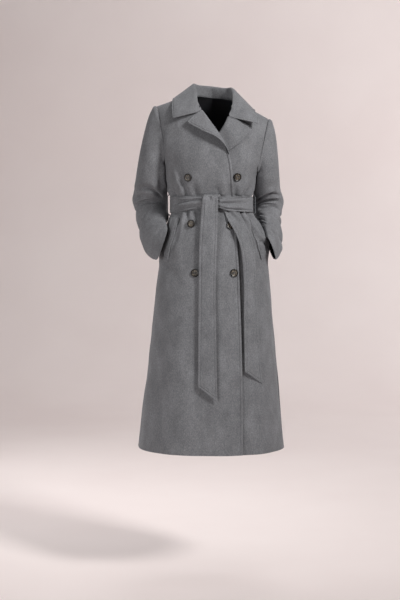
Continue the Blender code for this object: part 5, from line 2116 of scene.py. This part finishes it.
@dataclass
class Studio:
    """The floor and backdrop, the lights and the camera."""

    floor: float = -1.612
    back: float = 5.4
    bend: float = 1.8
    width: float = 15.0
    height: float = 6.0
    front: float = -5.5
    eye: tuple[float, float, float] = (-0.0403, -4.2, -0.41)
    tilt: float = math.radians(86.3)
    lens: float = 75.0
    film: float = 36.0
    room: str = "#e9e4e3"
    room_light: float = 0.22

    def sweep(self) -> bpy.types.Object:
        """The paper that runs over the floor and up behind in one curve.

        Returns:
            The linked paper.
        """
        turn = np.linspace(0, math.pi / 2, 24)
        line = [(self.front, self.floor)]
        line += [(self.back - self.bend + self.bend * math.sin(t),
                  self.floor + self.bend - self.bend * math.cos(t)) for t in turn]
        line.append((self.back, self.height))
        made = bmesh.new()
        rows = [[made.verts.new((x, y, z)) for x in (-self.width / 2, self.width / 2)]
                for y, z in line]
        for low, high in zip(rows, rows[1:]):
            made.faces.new((low[0], low[1], high[1], high[0]))
        paper = placed("backdrop", made)
        paper.data.materials.append(StudioPaper().build())
        return paper

    def lamp(self, name: str, place: Sequence[float], aim: Sequence[float], size: float,
             power: float, tint: str, spread: float = 180.0) -> None:
        """Add one soft square lamp.

        Args:
            name: its name.
            place: where it stands.
            aim: what it points at.
            size: its side, in metres.
            power: its power, in watts.
            tint: its colour.
            spread: the angle that its light is held to, in degrees.
        """
        data = bpy.data.lights.new(name, "AREA")
        data.spread = math.radians(spread)
        data.size = size
        data.energy = power
        data.color = linear(tint)[:3]
        lamp = bpy.data.objects.new(name, data)
        lamp.location = place
        lamp.visible_camera = False
        lamp.rotation_euler = (Vector(aim) - Vector(place)).to_track_quat("-Z", "Y").to_euler()
        bpy.context.scene.collection.objects.link(lamp)

    def build(self) -> None:
        """Set the studio up."""
        scene = bpy.context.scene
        scene.view_settings.view_transform = "Standard"
        self.sweep()
        for lamp in LAMPS:
            self.lamp(*lamp)
        scene.world = bpy.data.worlds.new("soft_room")
        scene.world.use_nodes = True
        tree = scene.world.node_tree
        connect(tree, tree.nodes["Background"], {"Color": linear(self.room),
                                                 "Strength": self.room_light})
        data = bpy.data.cameras.new("camera")
        data.lens = self.lens
        data.sensor_width = self.film
        camera = bpy.data.objects.new("camera", data)
        camera.location = self.eye
        camera.rotation_euler = (self.tilt, 0.0, 0.0)
        scene.collection.objects.link(camera)
        scene.camera = camera


RIGHT_HIP = Fold.read("-172 -470 -184 -515 -188 -570 | 26 7 .3 .4")
LEFT_HIP = Fold.read("160 -405 176 -450 190 -505 196 -565 | 28 10.5 .35 .4")
RIGHT_FRONT_FOLDS = (RIGHT_HIP, *folds(
    # over the belt
    "-92 -336 -104 -305 -122 -268 -136 -225 | 10 8.6 .05 .7 .4",
    "-82 -336 -90 -312 -103 -285 -113 -262 | 4.5 -8.2 .05 .7",
    "-130 -336 -141 -318 -150 -298 | 8 6.2 .1",
    "-119 -336 -130 -322 -140 -311 | 4 -6.6 .05",
    "-66 -336 -72 -316 -80 -296 | 7 3.8 .1",
    "-51 -334 -53 -320 -57 -305 | 5.5 -3.8 .05",
    "-36 -334 -40 -305 -50 -265 | 10 3 .1",
    "22 -336 18 -318 7 -300 | 6 -3.5 .1",
    "36 -336 34 -300 26 -255 | 12 3.5 .1",
    "54 -336 54 -310 50 -280 | 6 -3 .1",
    # under the belt
    "-80 -377 -81.2 -392 -84 -410 | 4.2 -9.5 .05 .6",
    "-90 -386 -96 -410 -104 -445 -112 -490 | 7.5 7.6 .06 .7",
    "-70 -382 -69 -410 -67 -450 | 8 5.7 .06 .7",
    "-102 -388 -110 -410 -117 -440 | 5 -4.6 .1 .6",
    "-122 -388 -132 -420 -138 -455 | 6.5 4.1 .1 .6",
    "-54 -380 -52 -410 -50 -440 | 6 -3.5 .1",
    "26 -376 26 -420 30 -520 | 12 -3.2 .1 .8",
    "-103.5 -412.7 -103 -432.3 -117 -471.6 -130 -510.9 -139 -537.1 | 4.2 -4 .15 .2",
    "-177 -542 -171.8 -546 -160.4 -553.9 -148.9 -566 -144 -580.2 | 4.4 -4.2 .2 .4 .3",
    # over the hand in the pocket
    "-128 -455 -126 -500 -112 -548 | 26 6 .5",
    "-155 -560 -130 -590 -95 -612 | 16 -3 .3",
    # down the skirt
    "-75 -620 -92 -800 -110 -1180 | 42 6 .5 .01",
    "-24 -640 -28 -860 -32 -1180 | 36 -4.6 .5 .01",
    "-165 -620 -180 -860 -196 -1180 | 34 -5 .5 .01",
    "46 -700 52 -900 56 -1180 | 28 3.4 .5 .01",
    # the chest
    "-118 -110 -128 -165 -134 -215 | 20 -3.4 .4",
    "-160 -235 -130 -200 -95 -180 | 10 1.8 .2",
    "-150 -150 -154 -190 -160 -230 | 8 2.6 .3 .3"))
LEFT_FRONT_FOLDS = (LEFT_HIP, *folds(
    # over the belt
    "88 -336 96 -312 110 -285 122 -255 | 10 8.1 .05 .7 -.35",
    "79.5 -336 81 -316 85 -292 | 3.6 -7.4 .05 .6",
    "101 -336 113 -314 126 -292 | 4.2 -6.4 .05 .6",
    "116 -336 129 -312 138 -288 | 7.5 5.7 .1",
    # under the belt
    "84 -386 92 -400 102 -414 112 -430 | 4.5 -8.4 .05 .6",
    "98 -388 110 -406 124 -430 136 -470 | 7 7.8 .06 .7",
    "112 -388 126 -404 140 -426 | 4.8 -5.9 .06 .6",
    "126 -388 138 -402 152 -425 162 -455 | 6.5 5.4 .08",
    "130 -425 141 -462 153 -480 172 -498 | 6.2 -6.8 .3 .3",
    "119 -475 126 -492 134 -510 | 6 -4.9 .3 .4",
    "126 -412 135.9 -431 152.4 -461.7 169 -484 | 5.2 4 .3 .4",
    "146.2 -480 160.6 -486.2 170.8 -496.4 179 -512 | 4 -4.6 .3 .4 .3",
    "123.3 -471.5 132 -490 140 -506.8 156 -519 | 7.5 -4 .3",
    # over the hand in the pocket
    "148 -440 158 -470 160 -510 | 20 6 .5",
    "168 -560 150 -590 120 -615 | 16 -3 .3",
    # down the skirt
    "130 -620 150 -800 168 -1180 | 38 5.6 .5 .01",
    "196 -640 206 -860 222 -1180 | 28 -4.4 .5 .01",
    # the chest
    "118 -110 126 -170 130 -225 | 20 -3.2 .4",
    "150 -150 150 -190 146 -230 | 8 2.6 .3 .3"))
BACK_FOLDS = (RIGHT_HIP, LEFT_HIP, *folds(
    "-70 -335 -84 -290 -98 -220 -104 -170 | 12 5.2 .1 .6 .2",
    "-84 -335 -100 -300 -118 -250 | 7 -3.5 .1",
    "60 -335 76 -290 92 -230 98 -185 | 11 4.8 .1 .6 -.2",
    "48 -335 58 -300 66 -255 | 6 -3 .1",
    "20 -335 24 -300 22 -250 | 9 2.6",
    "-30 -335 -34 -295 -32 -240 | 10 3",
    "-52 -389 -56 -430 -62 -480 -68 -560 | 13 4.8 .08 .7",
    "-36 -389 -36 -430 -38 -490 | 7 -3.6 .08",
    "50 -389 56 -430 64 -480 74 -540 | 13 4.4 .08 .7",
    "34 -389 36 -425 40 -470 | 7 -3.4 .08",
    "94 -389 106 -430 118 -490 | 9 3.4 .1",
    "-96 -389 -108 -430 -116 -480 | 9 3 .1",
    "-80 -620 -96 -860 -120 -1180 | 45 6 .6 .01",
    "0 -560 0 -860 4 -1180 | 40 -4 .6 .01",
    "86 -620 104 -860 126 -1180 | 45 5.6 .6 .01",
    "170 -640 186 -860 206 -1180 | 35 -4.4 .6 .01",
    "-164 -640 -180 -860 -200 -1180 | 35 -4.4 .6 .01",
    "-130 -90 -120 -150 -122 -215 | 20 -3 .4",
    "132 -90 122 -150 122 -215 | 20 -3 .4"))

RIGHT_SLEEVE = Table("ring x y z out front rise lean inwards", """
    1 202 8 -245 42 62 21 0 0,
    2 205 40 -305 54 61 12 -10 0,
    3 208.5 74 -352 58 57 2 6 0,
    4 204 70 -389 55 52 -6 24 2,
    5 196.5 38 -424 50.5 47 -20 30 6,
    6 191.5 -4 -452 43 42 -35 28 10,
    7 182 -44 -477 32.5 37 -45 24 12,
    8 160 -70 -496 24 34 -53 12 10""", key=1.0)
LEFT_SLEEVE = Table("ring x y z out front rise lean inwards", """
    1 188 10 -245 37 62 19 0 0,
    2 186 42 -303 45 61 10 -10 0,
    3 189.5 76 -350 51 57 3 6 0,
    4 189.5 74 -389 49 52 -2 22 2,
    5 194 44 -430 41 46 -10 28 5,
    6 199 6 -463 36.5 42 -24 26 6,
    7 196 -26 -488 32 37 -34 22 4,
    8 186 -50 -509 26 35 -37 18 2""", key=1.0)
RIGHT_SLEEVE_FOLDS = folds(
    # the deep folds inside the elbow
    "30 102 48 94 70 88 90 91 107 103 122 119 | 5.4 -6.6 .3 .2 .3 -2.2",
    "17 101 31 92 45 85 67 77 84 78 | 3 1.1 .2 .4",
    "6 104 22 97 45 84 66 77 88 78 110 88 | 9.8 6.2 .2 .25 -.3",
    "20 117 45 104 70 100 92 106 112 122 | 7 4.4 .2 .35",
    "22 134 36 127 56 114 73 111 88 116 | 4.4 -4 .4 .4 .3",
    "4 146 30 142 56 131 80 122 100 134 | 9.8 5.2 .2 .3",
    "4 166 22 159 42 149 65 139 86 128 | 4.4 -3.4 .15 .35 -.3 2.2",
    "96 140 116 152 134 170 | 6 -1.4 .4 .3",
    "10 184 40 178 78 168 108 172 | 10.5 4.2 .2 .4",
    "0 216 22 214 50 204 80 196 | 5.8 -3.6",
    "50 236 80 232 110 226 | 10.3 3 .3 .4",
    # the outline
    "-50 138 -20 132 12 128 40 120 | 15 4.8 .3 .3",
    "-40 174 0 168 30 160 | 6 -5.2 .3 .3",
    "-40 198 0 196 40 190 | 12 2.4 .3 .3",
    "-35 226 0 222 35 214 | 5.2 -4.2 .3 .3",
    "-40 248 0 245 40 240 | 12 2.2 .3 .3",
    # the forearm
    "18 257 28 259 45 263 70 271 86 275 104 296 | 4 -2.6 .2 .2 -.3 2.8",
    "20 253 50 258 82 263 116 268 | 6.2 3.2 .2 .2",
    "62 300 84 308 106 318 | 4 -3.2 .2 .3",
    "30 312 60 322 84 334 | 8 2.2 .3 .3",
    # the upper arm
    "100 44 112 62 122 86 | 12.1 -2.7 .4 .3",
    "30 40 52 56 86 64 | 17.5 -1.5 .4 .4",
    # behind
    "-10 110 -40 104 -80 112 -112 130 | 8 4 .25 .3",
    "-14 126 -46 119 -84 126 -118 146 | 5.8 -5 .25 .3",
    "-10 168 -50 164 -90 156 -125 150 | 6.6 -5 .25 .3",
    "-20 200 -55 206 -90 200 | 9.8 3.4 .3 .4",
    "-30 252 -60 262 -96 262 | 8.1 -3.1 .3 .4",
    "-100 50 -116 70 -128 98 | 12.1 -2.9 .4 .3")
LEFT_SLEEVE_FOLDS = folds(
    # the deep folds inside the elbow
    "140 158 135 151 112 128 90 112 62 104 30 122 | 5 -7.4 .12 .3 .3 -2",
    "134 134 112 112 88 98 62 92 30 100 | 9.2 5.4 .2 .3",
    "128 158 116 142 98 130 79 122 52 122 20 134 | 6.9 6.2 .15 .3",
    "100 146 81 139 59 138 36 147 | 4.2 -5 .2 .3 0 -1.6",
    "118 172 96 160 70 155 34 160 | 8 5.6 .2 .3",
    "118 190 98 187 79 184 59 176 30 180 12 188 | 4.4 -5.2 .15 .3 .3",
    "118 207 95 210 73 206 48 206 25 213 | 6.2 4.2 .2 .3",
    "140 216 124 213 100 220 80 222 | 4 -3 .2 .4",
    "132 218 115 220 90 231 67 234 45 238 | 4.8 3 .2 .3",
    "140 230 123 234 104 243 88 246 | 4.6 -4.8 .15 .4",
    "123 200 129 226 134 254 | 5 -2.4 .2 .3 .3",
    "40 216 22 212 4 212 | 5 -3.6 .3 .3 .3",
    "36 270 43 260 54 249 70 248 98 265 126 275 148 262 | 4.2 -2.2 .3 .12 -.3 3.4",
    "150 247 140 249 115 260 93 253 | 5.6 -4.6 .15 .4",
    # the outline
    "-50 134 -10 134 30 142 | 23 4.6 .3 .3",
    "-35 188 0 190 30 193 | 5.8 -6.2 .3 .3",
    "-30 213 0 214 30 214 | 5.7 -3.2 .3 .3 .3",
    "-34 240 0 243 34 246 | 17 3.4 .3 .3",
    "-30 270 0 272 30 274 | 5 -4.2 .3 .3",
    "-30 292 0 293 30 296 | 12 2.6 .3 .3",
    # the forearm
    "90 290 60 282 31 272 8 268 | 5.5 -3.6 .3 .2",
    "110 312 74 306 40 300 | 9.2 2.4 .3 .3",
    # the upper arm
    "118 44 128 66 134 92 | 11.5 -2.7 .4 .3",
    "100 60 70 70 40 74 | 17.5 -1.7 .4 .4",
    # behind
    "-10 118 -45 108 -85 116 -118 132 | 8 4.2 .25 .3",
    "-14 134 -48 124 -86 132 -120 150 | 5.8 -5.2 .25 .3",
    "-14 170 -50 172 -90 160 -122 158 | 6.4 -4.8 .25 .3",
    "-20 206 -55 212 -94 204 | 9.8 3.4 .3 .4",
    "-30 258 -60 266 -94 266 | 8.1 -3.1 .3 .4",
    "-104 52 -118 72 -130 100 | 12.1 -2.9 .4 .3")
BELT_FOLDS = folds(
    # its lower half is laid over the upper one on the way to the knot
    "-26 -356 -60 -359 -100 -366 -134 -377 | 7 4.2 .02 .35",
    "-26 -347.5 -50 -350 -73 -353 -102 -359.3 -130 -371.5 | 2.6 -3.4 .02 .3 .3 7.4",
    "-26 -340.5 -60 -341.8 -100 -343.5 -134 -348 | 3.4 3.4 .05 .3",
    # the left stretch goes into the knot in two rolls
    "20 -351 40 -350 66 -349 100 -345 | 4.8 4.8 .03",
    "22 -358 42 -361.2 66 -360.6 95 -357.3 122 -354.8 | 2.8 -4.6 .1 .45 0 -5.2",
    "20 -364 40 -369 66 -371.2 128 -373 | 5.2 5.2 .05 .6",
    "60 -344 95 -340.5 128 -339 | 2.6 -2.6 .3 .3",
    "56 -378 90 -379 124 -380 | 2.6 -2.4 .3 .3")
TAIL_A_FOLDS = folds(
    "-17 -329 -12 -336.5 -2 -349 | 3.4 -5.4 .05 .4",
    "-8 -329 -3 -336.5 6 -349 | 4 4 .05",
    "3 -337 5 -360 4 -430 | 3.4 -1.6 .1",
    "-24 -337 -22 -360 -26 -420 | 5 2.2 .1")
TAIL_B_FOLDS = folds(
    "50 -381 62 -395 77 -411.5 86 -430 | 4.5 -5 .03",
    "64 -381 78 -398 92 -420 101 -460 | 5.8 4.6 .05 .6")

OVER_LAPEL = Table("along roll_z edge_x edge_z lift", """
    0 -58 -80 -108.5 13,
    .25 -86 -32 -132 20,
    .5 -115 5 -145.5 24,
    .72 -144 31 -162.5 19,
    .9 -172 48 -182.5 8,
    1 -190 53 -195 4""", key=1.0)
UNDER_LAPEL = Table("along roll_z edge_x edge_z lift", """
    0 -70 128 -99.5 9.5,
    .25 -98 106 -130 9.8,
    .45 -125 84 -155 8.2,
    .6 -148 56 -180 5,
    .82 -183 10 -206 1.6,
    1 -218 -48 -223 .8""", key=1.0)
COLLAR_RIGHT = Table("along seam_x seam_z lean_x lean_y stand edge_x edge_y edge_z", """
    0 0 .5 0 -9 30 0 111 -46,
    .25 40 -.5 -4 1 30 74 94 -43,
    .5 74.5 -6 -18 13 31 128 8 -22,
    .7 64 -18 -13 15 17 133 -46 -42,
    .86 50 -37 -3 6 9 133 -80 -68,
    1 37 -53.5 -1 1 4 131 -102 -96""", key=1.0)
COLLAR_LEFT = Table("along seam_x seam_z lean_x lean_y stand edge_x edge_y edge_z", """
    0 0 .5 0 -9 30 0 111 -46,
    .25 42 -.5 -3 1 30 78 94 -45,
    .5 74.5 -6 -13 13 33 137 8 -28,
    .7 71 -18 -5 12 20 145 -44 -49,
    .86 64 -40 -1 5 8 151 -87 -63,
    1 54.5 -63 -1 1 4 150 -112 -82""", key=1.0)
RIGHT_WELT = Table("along outer_x outer_z inner_x inner_z", """
    0 -129 -404 -108 -408,
    .5 -145 -460 -125 -474,
    1 -160 -520 -143 -545""", key=1.0)
LEFT_WELT = Table("along outer_x outer_z inner_x inner_z", """
    0 138 -404 118 -408,
    .5 159 -460 139 -474,
    1 179 -520 161 -545""", key=1.0)
RIGHT_TAIL = Table("along right_x right_z left_x left_z lift crown", """
    0 -30 -335 16.5 -334.5 16.6 1,
    .08 -33.5 -385 16.5 -385 16.6 1.5,
    .22 -40 -470 14.5 -472 12.5 1.5,
    .45 -43.5 -610 10.5 -615 9.5 1,
    .8 -45 -825 13 -850 8.5 .8,
    1 -45.8 -952 15 -1000 8 .5""", key=1.0)
LEFT_TAIL = Table("along right_x right_z left_x left_z lift crown", """
    0 30 -356 80 -356 1.1 0,
    .06 41 -390 89 -390 1.1 0,
    .11 48 -412 97 -414 8 .6,
    .17 64.5 -442 111 -445 12 2,
    .27 83 -490 125 -495 14.8 4.5,
    .46 96 -600 134.5 -605 12.2 4.5,
    .7 99 -740 144 -750 8.8 2,
    1 103 -905 159 -948 6.4 .5""", key=1.0)
BUTTONS = (
    ("right_top", -0.0790, -0.279, 0.3), ("right_middle", -0.0680, -0.426, 0.9),
    ("right_low", -0.0570, -0.585, 0.1), ("left_top", 0.0840, -0.268, 0.6),
    ("left_middle", 0.0585, -0.431, 1.1), ("left_low", 0.0700, -0.585, 0.2))


@dataclass
class Coat:
    """The whole coat: its panels, sleeves, collar, lapels, belt, pockets and buttons."""

    wool: bpy.types.Material
    lining: bpy.types.Material
    horn: bpy.types.Material
    rim: bpy.types.Material
    thread: bpy.types.Material
    right_front: FrontPanel = field(default_factory=lambda: FrontPanel(
        "front_right", "right_front", (0.47, 1.20), 0.42, Face.FRONT, RIGHT_FRONT_FOLDS,
        side=Side.RIGHT))
    left_front: FrontPanel = field(default_factory=lambda: FrontPanel(
        "front_left", "left_front", (0.47, 1.20), 0.42, Face.FRONT, LEFT_FRONT_FOLDS,
        side=Side.LEFT))
    back: BackPanel = field(default_factory=lambda: BackPanel(
        "back_panel", "back", (0.66, 1.22), 0.62, Face.BACK, BACK_FOLDS))
    right_sleeve: Sleeve = field(default_factory=lambda: Sleeve(
        "sleeve_right", "right_sleeve", (0.36, 0.55), 0.140, Side.RIGHT, RIGHT_SLEEVE,
        RIGHT_SLEEVE_FOLDS, RIGHT_HIP))
    left_sleeve: Sleeve = field(default_factory=lambda: Sleeve(
        "sleeve_left", "left_sleeve", (0.36, 0.55), 0.140, Side.LEFT, LEFT_SLEEVE,
        LEFT_SLEEVE_FOLDS, LEFT_HIP))
    right_lapel: Lapel = field(default_factory=lambda: Lapel(
        "lapel_right", "right_lapel", (0.10, 0.17), 0.011, Side.RIGHT, OVER_LAPEL, 0.0011))
    left_lapel: Lapel = field(default_factory=lambda: Lapel(
        "lapel_left", "left_lapel", (0.12, 0.22), 0.0155, Side.LEFT, UNDER_LAPEL, 0.0019))
    band: BeltBand = field(default_factory=lambda: BeltBand(
        "belt_round_waist", "belt_band", (0.054, 0.84), BELT_FOLDS))
    knot: Knot = field(default_factory=lambda: Knot("belt_wrap", "belt_knot", (0.054, 0.115)))
    right_tail: Strip = field(default_factory=lambda: Strip(
        "belt_end_right", "belt_tail_right", (0.058, 0.69), RIGHT_TAIL, TAIL_A_FOLDS,
        over_top=0.012, top_corner=0.013))
    left_tail: Strip = field(default_factory=lambda: Strip(
        "belt_end_left", "belt_tail_left", (0.054, 0.62), LEFT_TAIL, TAIL_B_FOLDS,
        over_top=0.0001))

    def dress(self, piece: bpy.types.Object, nodes: Sequence[str], slot: str | None,
              *finishes: bpy.types.Material) -> None:
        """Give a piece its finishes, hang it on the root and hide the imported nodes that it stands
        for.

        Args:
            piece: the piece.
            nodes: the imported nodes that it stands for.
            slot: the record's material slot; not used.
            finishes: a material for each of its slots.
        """
        mesh = piece.data
        for number, finish in enumerate(finishes):
            if number < len(mesh.materials):
                mesh.materials[number] = finish
            else:
                mesh.materials.append(finish)
        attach(piece, ROOT)
        if nodes:
            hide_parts(*nodes)
        log.info("%s: %d faces", piece.name, len(mesh.polygons))

    def build_body(self) -> None:
        """Make the fronts, the back and the sleeves."""
        for cut in (self.right_front, self.left_front, self.back, self.right_sleeve,
                    self.left_sleeve):
            piece = cut.build()
            self.dress(piece, [cut.node], "wool", self.wool, self.lining)

    def build_neck(self) -> None:
        """Make the lapels and the collar."""
        for lapel in (self.right_lapel, self.left_lapel):
            piece = lapel.build()
            self.dress(piece, [lapel.node], "wool", self.wool, self.lining)
        collar = Collar("collar_with_stand", "collar", (0.13, 0.52), 0.062, COLLAR_RIGHT,
                        COLLAR_LEFT, self.right_lapel, self.left_lapel)
        piece = collar.build()
        self.dress(piece, ["collar"], "wool", self.wool, self.lining)

    def build_belt(self) -> None:
        """Make the belt with its knot, its ends and its loops."""
        piece = self.band.build()
        self.dress(piece, [self.band.node], "wool", self.wool, self.lining)
        piece = self.knot.build(self.band)
        self.dress(piece, [self.knot.node], "wool", self.wool, self.lining)
        for tail in (self.right_tail, self.left_tail):
            piece = tail.build()
            self.dress(piece, [tail.node], "wool", self.wool, self.lining)
        for side, name in ((Side.RIGHT, "right"), (Side.LEFT, "left")):
            piece = ThreadLoop(f"thread_loop_{name}", f"belt_loop_{name}", side).build()
            self.dress(piece, [f"belt_loop_{name}"], "wool", self.thread)

    def build_pockets(self) -> None:
        """Make the two slanted welts."""
        for name, edges, carrier in (("right", RIGHT_WELT, RIGHT_FRONT_FOLDS),
                                     ("left", LEFT_WELT, LEFT_FRONT_FOLDS)):
            welt = Strip(f"welt_{name}", f"{name}_pocket_welt", (0.042, 0.148), edges, (),
                         thickness=0.0050 if name == "right" else 0.0022, pitch=0.0025, columns=12,
                         bunching=1.0, corner=0.0040, stitches=0.0045, flutter=0.0,
                         carrier=carrier, lift_extra=0.0012)
            piece = welt.build()
            self.dress(piece, [welt.node], "wool", self.wool, self.lining)

    def build_buttons(self) -> None:
        """Make the six buttons and their threads."""
        for name, x, z, spin in BUTTONS:
            is_under = x > float(PATTERN.over_edge.at(z, "x"))
            panel = self.left_front if is_under else self.right_front

            def lift(px: np.ndarray, pz: np.ndarray) -> np.ndarray:
                """How far the front under the button lies off the form."""
                return panel.lift(px, pz) - PATTERN.under_lap(panel.side, px, pz)

            button, thread = Button(f"button_{name}", f"button_{name}", x, z, spin).build(lift)
            # the new disc takes a plain name of its own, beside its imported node
            button.name = f"horn_button_{name}"
            self.dress(button, [f"button_{name}"], "horn", self.horn, self.rim)
            self.dress(thread, [], None, self.thread)

    def build(self) -> None:
        """Make every piece."""
        self.build_body()
        self.build_neck()
        self.build_belt()
        self.build_pockets()
        self.build_buttons()


def main() -> None:
    """Build the coat and the studio."""
    logging.basicConfig(level=logging.INFO, format="%(name)s: %(message)s")
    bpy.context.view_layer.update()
    Studio().build()
    coat = Coat(wool=BrushedWool().build(), lining=SatinLining().build(),
                horn=TurnedHorn().build(),
                rim=TurnedHorn("polished_black_horn", "#0b0a09", "#13110f", "#2c2621", 5.0,
                               0.36).build(),
                thread=SewingThread("spun_grey_thread", "#6c6f73", "#54575b").build())
    coat.build()


if __name__ == "__main__":
    main()
